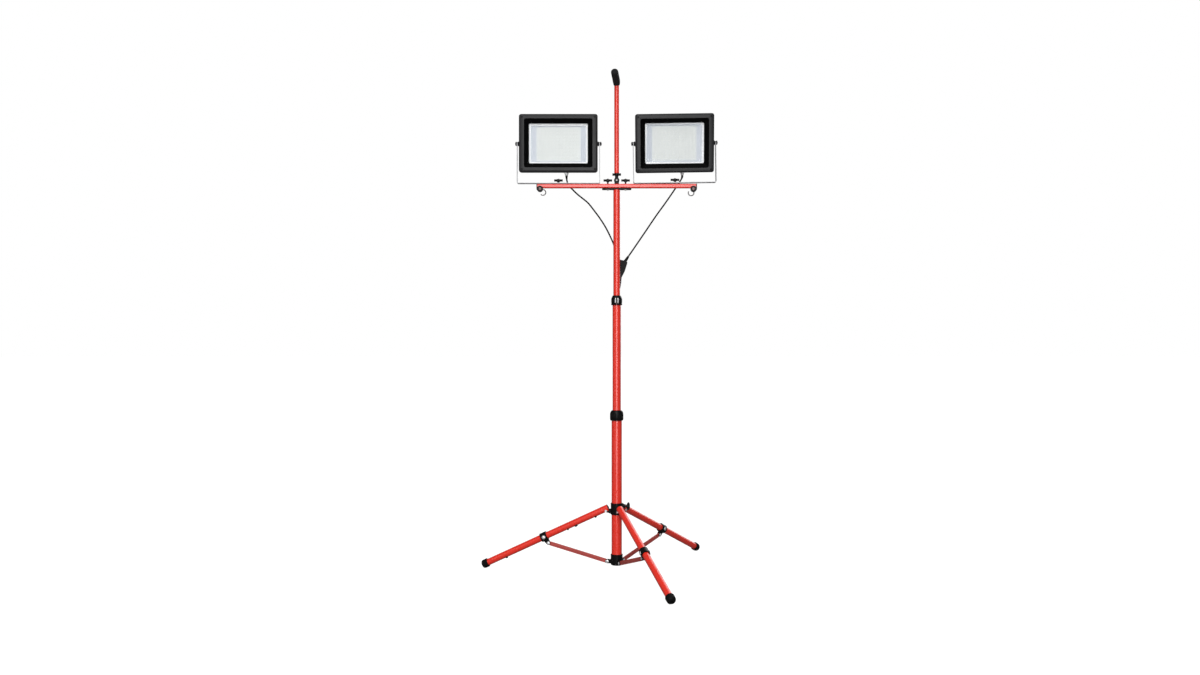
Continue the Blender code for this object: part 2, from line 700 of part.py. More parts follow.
def make_lamp(side, centre, turn, black, frame, clear, white, silver):
    housing = node(f"housing_{side}", housing_shape(), frame, centre, turn)
    height = LAMP_SIZE[1] - 0.040
    combine(housing, prism(fin_comb(), -height / 2, height / 2), "UNION")
    box = prism(rounded_rectangle(0.1000, 0.0700, 0.006, 2), 0.0150, 0.0330, "Y")
    combine(housing, box, "UNION")
    for sign in (-1, 1):
        face = YOKE_WIDTH / 2 - YOKE_STRIP[1] - GAP
        neck = LAMP_SIZE[0] / 2 + GAP
        boss = turned([(0.0060, neck - 0.0070), (0.0060, neck), (0.0095, neck), (0.0068, face)],
                      count=16)
        combine(housing, boss, "UNION", along_x(sign))
        combine(housing, rod(0.0033, 0.1400, 0.1500, 12), "DIFFERENCE", along_x(sign))
        place = "outer" if sign == OUTWARD[side] else "inner"
        make_tilt_knob(f"tilt_knob_{side}_{place}", sign, centre, turn, black)

    node(f"bezel_{side}", bezel_shape(), frame, centre, turn)

    glass_size = grown(WINDOW, 0.0120)
    front = -0.0065 + GAP
    glass = skin([rectangle_ring(glass_size, 0.004, front),
                  rectangle_ring(glass_size, 0.004, -0.0016 - GAP)])
    node(f"glass_{side}", glass, clear, centre, turn)
    node(f"led_module_{side}", led_module_shape(), white, centre, turn)

    x, y = GLAND
    top = -(LAMP_SIZE[1] - 0.0040) / 2 - GAP
    shape = turned([(0.0070, top), (0.0070, top - 0.0035), (0.0062, top - 0.0040),
                    (0.0062, top - 0.0075), (0.0040, top - 0.0108)], count=12)
    shape.transform(Matrix.Translation((x, y, 0)))
    node(f"gland_{side}", shape, silver, centre, turn)


# ---------------------------------------------------------------- cables


def make_splitter(black):
    outline = [(-0.0040, 0.0400), (0.0340, 0.0310), (0.0395, 0.0265), (0.0380, 0.0190),
               (0.0300, -0.0060), (0.0230, -0.0200), (0.0180, -0.0290), (0.0080, -0.0300),
               (0.0045, -0.0220), (-0.0050, 0.0100), (-0.0085, 0.0330)]
    body = node("cable_splitter", prism(outline, -0.0070, 0.0070, "Y"), black,
                (0, SPLITTER_Y, 1.0900))
    for start, end, radii in (
        ((0.0060, 0, 0.0330), (0.0012, 0, 0.0512), (0.0055, 0.0038)),
        ((0.0310, 0, 0.0297), (0.0436, 0, 0.0489), (0.0060, 0.0038)),
        ((0.0135, 0, -0.0240), (0.0128, 0, -0.0421), (0.0055, 0.0045)),
    ):
        combine(body, swept([start, end], radii, 14), "UNION")


def make_hank(black):
    outline = stadium(HANK_ARC_Z[1] - HANK_ARC_Z[0], HANK_HALF_WIDTH)
    outline = [(b, a) for a, b in outline]
    node("mains_hank", prism(outline, -HANK_HALF_THICK, HANK_HALF_THICK, "X"), black,
         (HANK_X, HANK_Y, HANK_ARC_Z[0]))


def make_plug(black):
    """Moulded plug below the hank: tapered relief, body, two flat blades and a round pin."""
    body = prism(rounded_rectangle(0.0250, 0.0270, 0.006), -0.0640, -0.0300)
    plug = node("mains_plug", body, black, (HANK_X, 0.0415, 0.8530))
    combine(plug, turned([(0.0042, 0.0), (0.0068, -0.0310), (0.0068, -0.0340)], count=14), "UNION")
    for x in (-0.0063, 0.0063):
        blade = prism([(x - 0.00075, -0.0066), (x + 0.00075, -0.0066),
                       (x + 0.00075, 0.0), (x - 0.00075, 0.0)], -0.0820, -0.0600)
        combine(plug, blade, "UNION")
    combine(plug, rod(0.0024, -0.0840, -0.0600, 10), "UNION", Matrix.Translation((0, 0.0085, 0)))


# ---------------------------------------------------------------- assembly


def main():
    clear_scene()
    origin = bpy.data.objects.new("stand_origin", None)
    origin.location = (MAST_X, MAST_Y, 0)
    bpy.context.scene.collection.objects.link(origin)

    red = make_material("red_enamel", (0.80, 0.045, 0.022), 0.32)
    strut_red = make_material("strut_red", (0.40, 0.055, 0.045), 0.45)
    black = make_material("black_plastic", (0.016, 0.016, 0.017), 0.45)
    rubber = make_material("black_rubber", (0.014, 0.014, 0.014), 0.80)
    foam = make_material("grip_foam", (0.012, 0.012, 0.012), 0.90)
    frame = make_material("charcoal_enamel", (0.045, 0.045, 0.047), 0.42, 0.2)
    steel = make_material("grey_steel", (0.55, 0.55, 0.56), 0.35, 0.8)
    zinc = make_material("zinc", (0.75, 0.75, 0.76), 0.30, 0.9)
    chrome = make_material("chrome", (0.60, 0.60, 0.61), 0.15, 1.0)
    white = make_material("reflector_white", (0.78, 0.80, 0.79), 0.50)
    clear = make_material("tempered_glass", (0.92, 0.96, 0.97), 0.05, 0.0, 0.15)
    jacket = make_material("cable_jacket", (0.015, 0.015, 0.016), 0.55)

    make_mast(red)
    make_collars(black)
    make_leg_hub(black)
    make_lower_hub(black)
    for number, azimuth in enumerate(LEG_AZIMUTHS, 1):
        make_leg(number, azimuth, red, black, rubber, zinc)
        make_strut(number, azimuth, strut_red)

    make_crossbar(red, black)
    make_end_cap("left", -1, black, chrome, -42)
    make_end_cap("right", 1, black, chrome, 32)
    for side, sign in (("left", -1), ("right", 1)):
        make_wing_knob(f"crossbar_knob_{side}", black, (sign * CLAMP_X, 0, WING_Z),
                       BAR_Z[0] - 0.0070)
    make_handle(red, black, foam)

    tilts = {"left": 0.0, "right": LAMP_RIGHT_TILT}
    rolls = {"left": 0.0, "right": LAMP_RIGHT_ROLL}
    lifts = {"left": 0.0, "right": LAMP_RIGHT_LIFT}
    for side, sign in (("left", -1), ("right", 1)):
        roll = (0, math.radians(rolls[side]), 0)
        base = Vector((sign * LAMP_X, 0, YOKE_Z + lifts[side]))
        rise = Matrix.Rotation(roll[1], 3, "Y") @ Vector((0, 0, LAMP_Z - YOKE_Z))
        turn = (math.radians(tilts[side]), roll[1], 0)
        make_yoke(side, steel, base, roll)
        make_wing_knob(f"yoke_knob_{side}", black, (base.x, 0, WING_Z + lifts[side]),
                       BAR_Z[1] - 0.0080)
        make_lamp(side, base + rise, turn, black, frame, clear, white, zinc)

    cord("lamp_cable_left", smooth_route(LEFT_CABLE_ROUTE, 0.012), CABLE_R, jacket)
    cord("lamp_cable_right", smooth_route(RIGHT_CABLE_ROUTE, 0.012), CABLE_R, jacket)
    make_splitter(jacket)
    cord("mains_lead", smooth_route(LEAD_ROUTE, 0.010), LEAD_R, jacket)
    make_hank(jacket)
    make_plug(jacket)


main()
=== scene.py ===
"""Work light: two flood lamps on a crossbar, a telescopic mast, a folding tripod and a mains lead."""

import json
import math

import bmesh
import bpy
from mathutils import Euler, Matrix, Vector


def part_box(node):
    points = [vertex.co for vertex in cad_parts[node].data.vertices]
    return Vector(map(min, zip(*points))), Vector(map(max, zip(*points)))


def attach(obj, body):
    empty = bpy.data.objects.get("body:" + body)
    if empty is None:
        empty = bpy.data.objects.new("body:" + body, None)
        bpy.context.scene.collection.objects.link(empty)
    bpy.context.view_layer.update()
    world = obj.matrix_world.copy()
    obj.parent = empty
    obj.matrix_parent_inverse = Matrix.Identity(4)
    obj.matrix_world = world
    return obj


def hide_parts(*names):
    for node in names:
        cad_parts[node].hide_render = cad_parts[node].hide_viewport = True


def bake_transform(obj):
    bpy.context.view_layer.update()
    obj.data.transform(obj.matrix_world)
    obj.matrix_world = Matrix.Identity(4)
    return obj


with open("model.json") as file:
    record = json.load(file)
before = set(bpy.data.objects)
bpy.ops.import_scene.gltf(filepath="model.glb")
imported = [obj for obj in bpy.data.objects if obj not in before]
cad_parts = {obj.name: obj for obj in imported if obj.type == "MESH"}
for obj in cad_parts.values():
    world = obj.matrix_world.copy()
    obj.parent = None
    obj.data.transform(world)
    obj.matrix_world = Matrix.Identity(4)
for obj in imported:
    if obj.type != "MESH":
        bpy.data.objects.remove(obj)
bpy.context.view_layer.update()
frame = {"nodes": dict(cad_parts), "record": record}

# ---- dimensions, in metres

tube_low, tube_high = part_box("lower_mast_tube")
MAST = Vector(((tube_low.x + tube_high.x) / 2, (tube_low.y + tube_high.y) / 2, 0))
SIDES = (("left", -1), ("right", 1))

# The tripod. Each pair is (distance from the mast's axis, height above the floor).
LEG_AZIMUTHS = (172.6, 48.9, -70.2)
LEG_PIVOT = (0.0375, 0.2185)
STRUT_LEG_PIVOT = (0.2495, 0.0965)
STRUT_HUB_PIVOT = (0.0345, 0.036)
FOOT_CENTRE = (0.4864, 0.0138)
LEG_AXIS_OFFSET = 0.0074
LEG_R = 0.012
FORK_OUTSIDE = 0.0054
STRUT_THICK = 0.004
STRUT_HALF = 0.0074
STRUT_END_R = 0.006
STRUT_NECK = 0.01

# Heads as (radius, height).
STRUT_RIVET_HEAD = (0.0056, 0.0022)
HUB_RIVET_HEAD = (0.0054, 0.002)
CLAMP_PAD = (0.0082, 0.004)
CLAMP_BOLT_HEAD = (0.0064, 0.0024)
RIVET_PIN_R = 0.0022
RIVET_PIN_REACH = 0.0056
CLAMP_BOLT_AHEAD = 0.0045
CLAMP_HALF_WIDTH = 0.0125
CLAMP_PAD_OUTSIDE = 0.0164

# Sections of moulded rings as (radius, height), and where the rings sit.
CLAMP_RIM = (
    (0.0158, 0.0), (0.0165, 0.0003), (0.0165, 0.0012), (0.0158, 0.0016), (0.0126, 0.0016), (0.0126, 0.0),
)
CLAMP_RIM_PLACES = (-0.0074, 0.0153)
FOOT_RIB = (
    (0.0153, 0.0), (0.0158, 0.0003), (0.0158, 0.0008), (0.0153, 0.0011), (0.014, 0.0011), (0.014, 0.0),
)
FOOT_RIB_PLACES = (0.0, 0.002, 0.004, 0.006)
FOOT_RIBS_FROM_END = 0.0128
LEG_HUB_RIM = ((0.0206, 0.0), (0.0221, 0.0004), (0.0221, 0.002), (0.0206, 0.0024))
LEG_HUB_RIM_PLACES = (0.2062, 0.244)
LOWER_HUB_RIM = ((0.0206, 0.0), (0.022, 0.0004), (0.022, 0.0022), (0.0206, 0.0026))
LOWER_HUB_RIM_PLACES = (0.027, 0.059)
LEG_TOP_FROM_PIVOT = -0.0116

# Bungs of the left leg: (distance down the leg, stretch).
LEG_BUNGS = ((0.044, 1.0), (0.123, 1.5), (0.156, 0.8), (0.406, 1.2))
LEG_BUNG_TURN = -152

# Collars: the ribs as (count, radius, depth, lowest, highest).
LOWER_COLLAR_RIBS = (26, 0.0235, 0.0008, 0.548, 0.57)
UPPER_COLLAR_RIBS = (22, 0.019, 0.0007, 0.968, 0.983)
# Half the spacing of the two bright strips that paint the upper collar's front highlights.
COLLAR_HIGHLIGHT_PLATE_X = 0.0045

# The crossbar's fittings.
BRACKET_BOLT_X = 0.032
BRACKET_UNDERSIDE_Z = 1.3757
HANDLE_POST_BOLT = (0, -0.006, 1.4095)
END_CAP_BOLT = (0.2755, -0.024, 1.376)
END_CAP_FACE_X = 0.2888
END_CAP_RIB_HEIGHTS = (1.385, 1.389, 1.393)

# The grip: the crook's bend and the way it leans, its straight end and its nose.
GRIP_FOOT_Z = 1.748
GRIP_BEND_R = 0.022
GRIP_LEAN = math.radians(70)
GRIP_YAW = math.radians(188)
GRIP_STRAIGHT = 0.056
GRIP_NOSE = 0.009

# The lamps. Each stud is where the yoke's clamp bolt stands.
LAMPS = {
    "left": {"centre": (-0.21, 0, 1.541), "tilt": 0.0, "roll": 0.0, "stud": (-0.21, 0, 0.0)},
    "right": {"centre": (0.208, 0, 1.5432), "tilt": 10.6, "roll": -0.8, "stud": (0.21, 0, 0.0022)},
}
LAMP_SIZE = (0.283, 0.209)
WINDOW = (0.212, 0.144)
BOARD = (0.162, 0.125)
BOARD_Y = 0.006
CHIP_COLUMNS = 12
CHIP_ROWS = 9
CHIP_PITCH = 0.0125
ARM_OUTSIDE = 0.1497
BEZEL_SCREW_CORNER = (0.13, 0.0935)
COVER_SCREW_CORNER = (0.043, 0.028)
GLAND = (0.029, 0.009, -0.1028)

# The cords. A lamp's cable parts at CROSSBAR_BACK_Z into an upper and a lower part.
CABLE_R = 0.00275
LEAD_R = 0.0035
CROSSBAR_BACK_Z = 1.3925
LEFT_CABLE_ROUTE = (
    (-0.181, 0.009, 1.4267), (-0.1809, 0.0093, 1.4198), (-0.1795, 0.012, 1.4085),
    (-0.1755, 0.015, 1.397), (-0.1692, 0.0165, 1.388), (-0.1605, 0.0178, 1.38),
    (-0.1428, 0.02, 1.3629), (-0.118, 0.022, 1.3432), (-0.1016, 0.0235, 1.329),
    (-0.0805, 0.0255, 1.3025), (-0.0602, 0.0275, 1.2752), (-0.0369, 0.03, 1.2382),
    (-0.0126, 0.0325, 1.1873), (-0.004, 0.0338, 1.16), (0.0009, 0.034, 1.1421),
)
RIGHT_CABLE_ROUTE = (
    (0.2385, 0.0299, 1.4329), (0.2384, 0.0312, 1.4262), (0.2345, 0.0328, 1.417),
    (0.227, 0.0338, 1.405), (0.2143, 0.0343, 1.3855), (0.1795, 0.0345, 1.335),
    (0.1424, 0.0345, 1.2836), (0.101, 0.0343, 1.2225), (0.0565, 0.0341, 1.1574),
    (0.044, 0.034, 1.1395),
)
LEAD_ROUTE = (
    (0.0128, 0.034, 1.0475), (0.012, 0.0345, 1.04), (0.0104, 0.037, 1.027),
    (0.009, 0.04, 1.014), (0.0082, 0.0412, 1.006), (0.008, 0.0415, 0.999),
)
HANK_X = 0.001
HANK_Y = 0.0695
HANK_ARC_Z = (0.8735, 0.9785)
# Where each run of the hank lies: (offset in x, distance in front of and behind its middle).
HANK_SLOTS = (
    (0.007, 0.028), (0.007, 0.021), (0.0, 0.021), (-0.007, 0.021), (-0.007, 0.028),
    (0.0, 0.028),
)
PLUG_TOP = (0.001, 0.0415, 0.853)
PLUG_SIZE = (0.0248, 0.0268)
# The plug's outline as (size, height).
PLUG_LEVELS = (
    (0.7, -0.0305), (0.9, -0.0318), (1.0, -0.0345), (1.0, -0.056), (0.97, -0.0625), (0.93, -0.0638),
)

CREASE_ANGLE = math.radians(38)
SOFT_EDGED = ("bezel", "crossbar_bracket", "crossbar_end_cap", "handle_post", "cable_splitter")

# Strengths of the dome and of what glows. Each light is (name, kind, energy, place, target, size).
DOME_STRENGTH = 0.17
# The reflector's and the board's glows are painted light on a lamp that is not switched on; the floor's
# glow only keeps the floor evenly white.
REFLECTOR_PAINTED_GLOW = 0.04
BOARD_PAINTED_GLOW = 0.02
FLOOR_GLOW = 0.9
FLOOR_HALF = 40
LIGHTS = (
    ("key", "SUN", 1.2, (-0.6, -3.0, 3.4), (0, 0, 0.4), math.radians(38)),
    ("front", "AREA", 86.0, (0.1, -3.5, 1.35), (0, 0, 1.1), (1.6, 3.2)),
    ("side_strip", "AREA", 5.0, (-2.6, -1.9, 1.0), (0, 0, 0.9), (0.3, 2.6)),
    ("back", "SUN", 1.6, (1.6, 3.0, 2.4), (0, 0, 0.4), math.radians(60)),
)

CAMERA_OFFSET_X = -0.0602
CAMERA_DISTANCE = 3.72
CAMERA_HEIGHT = 0.843
CAMERA_LENS = 30.95


# ---- mesh helpers


def skin(rings, closed=False):
    """Mesh skinned over rings of equal length: capped at both ends, or closed into a loop."""
    shape = bmesh.new()
    loops = [[shape.verts.new(point) for point in ring] for ring in rings]
    pairs = list(zip(loops, loops[1:]))
    if closed:
        pairs.append((loops[-1], loops[0]))
    for first, second in pairs:
        count = len(first)
        for i in range(count):
            j = (i + 1) % count
            shape.faces.new((first[i], first[j], second[j], second[i]))
    if not closed:
        shape.faces.new(loops[0])
        shape.faces.new(loops[-1])
    bmesh.ops.recalc_face_normals(shape, faces=shape.faces)
    return shape


def circle(radius, height, count=32):
    angles = [2 * math.pi * i / count for i in range(count)]
    return [(radius * math.cos(a), radius * math.sin(a), height) for a in angles]


def polygon_ring(radius, height, sides, count):
    """Ring of count points on a regular polygon of this outer radius."""
    points = []
    for i in range(count):
        angle = 2 * math.pi * i / count
        part = (angle * sides / (2 * math.pi)) % 1.0 - 0.5
        reach = radius * math.cos(math.pi / sides) / math.cos(part * 2 * math.pi / sides)
        points.append((reach * math.cos(angle), reach * math.sin(angle), height))
    return points


def turned(profile, closed=False, count=32):
    """A solid of revolution about Z from (radius, height) points."""
    return skin([circle(r, z, count) for r, z in profile], closed)


def rings_of(profile, heights, count=32):
    """The same closed ring about Z at several heights."""
    return [turned([(r, z + height) for r, z in profile], True, count) for height in heights]


def rounded_rectangle(width, height, corner, steps=4):
    """Outline of a rectangle with rounded corners, as flat points about its middle."""
    points = []
    for turn, (sx, sy) in enumerate(((1, 1), (-1, 1), (-1, -1), (1, -1))):
        for step in range(steps + 1):
            angle = math.radians(90 * turn + 90 * step / steps)
            points.append((
                sx * (width / 2 - corner) + corner * math.cos(angle),
                sy * (height / 2 - corner) + corner * math.sin(angle),
            ))
    return points


def upright_ring(size, corner, depth):
    """Ring of a rounded rectangle that stands in the x-z plane at y = depth."""
    return [(x, depth, z) for x, z in rounded_rectangle(size[0], size[1], corner)]


def smooth_route(points, spacing):
    """Evenly spaced points on a Catmull-Rom curve through the given points."""
    route = [Vector(p) for p in points]
    route = [route[0] * 2 - route[1]] + route + [route[-1] * 2 - route[-2]]
    dense = []
    for p0, p1, p2, p3 in zip(route, route[1:], route[2:], route[3:]):
        for step in range(12):
            t = step / 12
            dense.append(0.5 * (
                2 * p1 + (p2 - p0) * t + (2 * p0 - 5 * p1 + 4 * p2 - p3) * t ** 2
                + (3 * p1 - p0 - 3 * p2 + p3) * t ** 3
            ))
    dense.append(route[-2])
    return evenly(dense, spacing)


def evenly(dense, spacing):
    """The same line with points about spacing apart."""
    lengths = [0.0]
    for a, b in zip(dense, dense[1:]):
        lengths.append(lengths[-1] + (b - a).length)
    count = max(2, round(lengths[-1] / spacing))
    even = []
    i = 0
    for k in range(count + 1):
        wanted = lengths[-1] * k / count
        while i < len(dense) - 2 and lengths[i + 1] < wanted:
            i += 1
        part = (wanted - lengths[i]) / max(lengths[i + 1] - lengths[i], 1e-9)
        even.append(dense[i].lerp(dense[i + 1], min(part, 1.0)))
    return even


def swept(path, radii, count=16):
    """A round solid along a path, with one radius per point."""
    points = [Vector(p) for p in path]
    side = Vector((1, 0, 0))
    rings = []
    for i, point in enumerate(points):
        ahead = points[min(i + 1, len(points) - 1)] - points[max(i - 1, 0)]
        ahead.normalize()
        side = (side - ahead * side.dot(ahead)).normalized()
        up = ahead.cross(side)
        ring = []
        for k in range(count):
            angle = 2 * math.pi * k / count
            ring.append(point + (side * math.cos(angle) + up * math.sin(angle)) * radii[i])
        rings.append(ring)
    return skin(rings)


def mesh_of(name, shape):
    mesh = bpy.data.meshes.new(name)
    shape.to_mesh(mesh)
    shape.free()
    return mesh


def placed(name, data):
    """A new object in the scene."""
    thing = bpy.data.objects.new(name, data)
    bpy.context.scene.collection.objects.link(thing)
    return thing


def joined(shapes):
    """One mesh that holds several shapes."""
    whole = bmesh.new()
    for shape in shapes:
        part = mesh_of("part", shape)
        whole.from_mesh(part)
        bpy.data.meshes.remove(part)
    return whole


def moved(shape, place):
    shape.transform(place)
    return shape


def about_z(degrees):
    return Matrix.Rotation(math.radians(degrees), 4, "Z")


def about_x(degrees):
    return Matrix.Rotation(math.radians(degrees), 4, "X")


def about_y(degrees):
    return Matrix.Rotation(math.radians(degrees), 4, "Y")


def shift(x, y, z):
    return Matrix.Translation((x, y, z))


def on_mast(point):
    """A point given from the mast's axis, in the row frame."""
    return MAST + Vector(point)


def piece(name, shape, material, body, place=Matrix(), edge=0.0):
    """A finished visual piece that rides on a body. place takes the shape into the row frame."""
    mesh = mesh_of(name, moved(shape, place))
    mesh.shade_smooth()
    mesh.set_sharp_from_angle(angle=CREASE_ANGLE)
    mesh.materials.append(material)
    thing = placed(name, mesh)
    if edge:
        soften_edges(thing, edge)
    if body:
        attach(thing, body)
    return thing


# ---- materials


def add_node(nodes, kind, **values):
    """A new node with values on the sockets they name, where _ stands for a space."""
    node = nodes.new(kind)
    for socket, value in values.items():
        node.inputs[socket.replace("_", " ")].default_value = value
    return node


class Surface:
    """Builds one procedural material around a Principled shader."""

    def __init__(self, name, metallic=0.0, specular=0.5):
        self.material = bpy.data.materials.new(name)
        self.material.use_nodes = True
        self.nodes = self.material.node_tree.nodes
        self.links = self.material.node_tree.links
        self.shader = self.nodes["Principled BSDF"]
        self.shader.inputs["Metallic"].default_value = metallic
        self.shader.inputs["Specular IOR Level"].default_value = specular
        self.coordinates = self.node("TexCoord")

    def node(self, kind, **values):
        return add_node(self.nodes, f"ShaderNode{kind}", **values)

    def mapped(self, scale):
        mapping = self.node("Mapping", Scale=scale)
        self.links.new(self.coordinates.outputs["Object"], mapping.inputs["Vector"])
        return mapping.outputs["Vector"]

    def noise(self, scale, detail=4.0, roughness=0.5, stretch=(1, 1, 1)):
        texture = self.node("TexNoise", Scale=scale, Detail=detail, Roughness=roughness)
        self.links.new(self.mapped(stretch), texture.inputs["Vector"])
        return texture.outputs["Fac"]

    def cells(self, scale):
        texture = self.node("TexVoronoi", Scale=scale)
        self.links.new(self.mapped((1, 1, 1)), texture.inputs["Vector"])
        return texture.outputs["Distance"]

    def ramp(self, factor, stops):
        ramp = self.node("ValToRGB")
        elements = ramp.color_ramp.elements
        while len(elements) < len(stops):
            elements.new(0.5)
        for element, (position, colour) in zip(elements, stops):
            element.position = position
            element.color = (*colour, 1.0)
        self.links.new(factor, ramp.inputs["Fac"])
        return ramp.outputs["Color"]

    def ranged(self, factor, low, high, start=0.0, end=1.0):
        node = self.node("MapRange", From_Min=start, From_Max=end, To_Min=low, To_Max=high)
        self.links.new(factor, node.inputs["Value"])
        return node.outputs["Result"]

    def mixed(self, factor, first, second):
        node = self.node("Mix")
        node.data_type = "RGBA"
        self.links.new(factor, node.inputs["Factor"])
        for socket, value in ((node.inputs[6], first), (node.inputs[7], second)):
            if isinstance(value, tuple):
                socket.default_value = (*value, 1.0)
            else:
                self.links.new(value, socket)
        return node.outputs[2]

    def math(self, operation, first, second):
        node = self.node("Math")
        node.operation = operation
        for socket, value in zip(node.inputs, (first, second)):
            if isinstance(value, (int, float)):
                socket.default_value = value
            else:
                self.links.new(value, socket)
        return node.outputs["Value"]

    def colour(self, output):
        self.links.new(output, self.shader.inputs["Base Color"])

    def roughness(self, output):
        self.links.new(output, self.shader.inputs["Roughness"])

    def bump(self, height, strength, distance):
        node = self.node("Bump", Strength=strength, Distance=distance)
        self.links.new(height, node.inputs["Height"])
        self.links.new(node.outputs["Normal"], self.shader.inputs["Normal"])

    def glow(self, strength):
        """Even white light of its own. On the floor it keeps the floor evenly white; on the lamp's
        reflector, board and chips, which are not switched on, it is painted light.
        """
        self.shader.inputs["Emission Color"].default_value = (1.0, 1.0, 1.0, 1.0)
        self.shader.inputs["Emission Strength"].default_value = strength

    def edge_wear(self):
        """Nearly 1 on sharp convex edges, broken up by noise."""
        edges = self.ranged(self.node("NewGeometry").outputs["Pointiness"], 0.0, 1.0, 0.66, 0.8)
        patches = self.ranged(self.noise(220.0), 0.0, 1.0, 0.42, 0.62)
        return self.math("MULTIPLY", edges, patches)


def shaded(colour, factor):
    return tuple(min(1.0, channel * factor) for channel in colour)


def enamel(name, colour, rough, wear_colour, cloudiness=0.08, specular=0.5):
    """Powder-coated steel: faint cloudiness, orange peel, fine scuffs and paler worn edges."""
    s = Surface(name, specular=specular)
    cloud = s.noise(12.0, 3.0)
    dark, light = shaded(colour, 1.0 - cloudiness / 2), shaded(colour, 1.0 + cloudiness / 2)
    base = s.ramp(cloud, ((0.3, dark), (0.7, light)))
    scuffs = s.ranged(s.noise(310.0, 6.0, 0.75), 0.0, 0.7, 0.68, 0.78)
    worn = s.math("MAXIMUM", scuffs, s.edge_wear())
    s.colour(s.mixed(worn, base, wear_colour))
    s.roughness(s.ranged(s.noise(60.0), rough - 0.04, rough + 0.06))
    s.bump(s.noise(1100.0, 2.0), 0.07, 0.0003)
    return s.material


def moulded(name, colour, rough, grain=1500.0, strength=0.25, specular=0.12, glow=0.0):
    """Moulded plastic or rubber: fine spark-eroded grain and rubbed edges."""
    s = Surface(name, specular=specular)
    cloud = s.noise(60.0, 5.0, 0.6)
    base = s.ramp(cloud, ((0.3, shaded(colour, 0.8)), (0.7, shaded(colour, 1.25))))
    s.colour(s.mixed(s.edge_wear(), base, shaded(colour, 2.6)))
    s.roughness(s.ranged(s.noise(140.0), rough - 0.06, rough + 0.1))
    s.bump(s.noise(grain, 3.0, 0.6), strength, 0.0003)
    if glow:
        s.glow(glow)
    return s.material


def metal(name, colour, rough, stretch=(1, 1, 1), strength=0.08, metallic=1.0):
    """Plated or brushed metal: streaked roughness and slight dulling."""
    s = Surface(name, metallic=metallic)
    dull = s.noise(80.0, 5.0, 0.6)
    s.colour(s.ramp(dull, ((0.3, shaded(colour, 0.86)), (0.7, colour))))
    streaks = s.noise(420.0, 4.0, 0.6, stretch)
    s.roughness(s.ranged(streaks, rough - 0.06, rough + 0.12))
    s.bump(streaks, strength, 0.0002)
    return s.material


def foam_material():
    s = Surface("grip_foam_cells", specular=0.18)
    s.shader.inputs["Sheen Weight"].default_value = 0.04
    s.shader.inputs["Sheen Roughness"].default_value = 0.5
    fine = s.noise(700.0, 4.0, 0.7)
    s.colour(s.ramp(fine, ((0.3, (0.0045, 0.0045, 0.0048)), (0.75, (0.018, 0.018, 0.019)))))
    s.roughness(s.ranged(s.noise(120.0), 0.62, 0.85))
    s.bump(s.math("ADD", s.cells(1100.0), s.math("MULTIPLY", fine, 0.6)), 0.35, 0.0006)
    return s.material


def reflector_material():
    """White reflector whose inside slopes are painted a darker cool lilac than its rim, as painted shade
    and painted reflection on the slopes.
    """
    s = Surface("reflector_satin", specular=0.5)
    axes = s.node("SeparateXYZ")
    s.links.new(s.coordinates.outputs["Generated"], axes.inputs["Vector"])
    inside = []
    for axis, edge in (("X", 0.441), ("Z", 0.416)):
        offset = s.math("ABSOLUTE", s.math("SUBTRACT", axes.outputs[axis], 0.5), 0.0)
        inside.append(s.math("LESS_THAN", offset, edge))
    painted_shade_slopes = s.math("MULTIPLY", *inside)
    cloud = s.noise(45.0, 3.0)
    rim = s.ramp(cloud, ((0.3, (0.9, 0.91, 0.93)), (0.7, (0.95, 0.96, 0.98))))
    # Painted shade and painted reflection: the slopes take a darker, cooler copy of the reflector's white.
    painted_shade_lilac = s.ramp(cloud, ((0.3, (0.52, 0.56, 0.64)), (0.7, (0.56, 0.6, 0.68))))
    s.colour(s.mixed(painted_shade_slopes, rim, painted_shade_lilac))
    s.roughness(s.ranged(s.noise(160.0), 0.3, 0.42))
    s.bump(s.noise(1200.0, 2.0), 0.06, 0.0002)
    # Painted light: the unlit reflector glows a little, which lifts its rim out of the bezel's shade.
    s.glow(REFLECTOR_PAINTED_GLOW)
    return s.material


def board_material():
    """White solder mask with faint tracks between the rows of chips."""
    s = Surface("led_board_mask", specular=0.5)
    tracks = s.node("TexBrick", Scale=1.0, Brick_Width=CHIP_PITCH, Row_Height=CHIP_PITCH,
                    Mortar_Size=0.0006, Color1=(0.73, 0.76, 0.745, 1.0),
                    Color2=(0.75, 0.78, 0.765, 1.0), Mortar=(0.63, 0.67, 0.68, 1.0))
    tracks.offset = 0.0
    turn = s.node("Mapping", Rotation=(math.radians(-90), 0, 0))
    s.links.new(s.coordinates.outputs["Object"], turn.inputs["Vector"])
    s.links.new(turn.outputs["Vector"], tracks.inputs["Vector"])
    s.colour(tracks.outputs["Color"])
    s.roughness(s.ranged(s.noise(150.0), 0.34, 0.48))
    s.bump(tracks.outputs["Fac"], -0.12, 0.0002)
    # Painted light: the unlit board glows a little, so that it looks brighter.
    s.glow(BOARD_PAINTED_GLOW)
    return s.material


def glass_material():
    """Clear pane: nearly transparent, with a thin haze that carries its reflections."""
    s = Surface("tempered_pane", specular=0.5)
    smear = s.noise(18.0, 5.0, 0.6)
    s.colour(s.ramp(smear, ((0.3, (0.8, 0.84, 0.86)), (0.7, (0.88, 0.92, 0.93)))))
    s.roughness(s.ranged(smear, 0.03, 0.09))
    s.links.new(s.ranged(smear, 0.1, 0.13), s.shader.inputs["Alpha"])
    return s.material


def floor_material():
    s = Surface("studio_floor", specular=0.0)
    s.colour(s.ramp(s.noise(0.8, 3.0), ((0.3, (0.29, 0.29, 0.29)), (0.7, (0.31, 0.31, 0.31)))))
    s.roughness(s.ranged(s.noise(3.0), 0.8, 0.95))
    s.glow(FLOOR_GLOW)
    return s.material


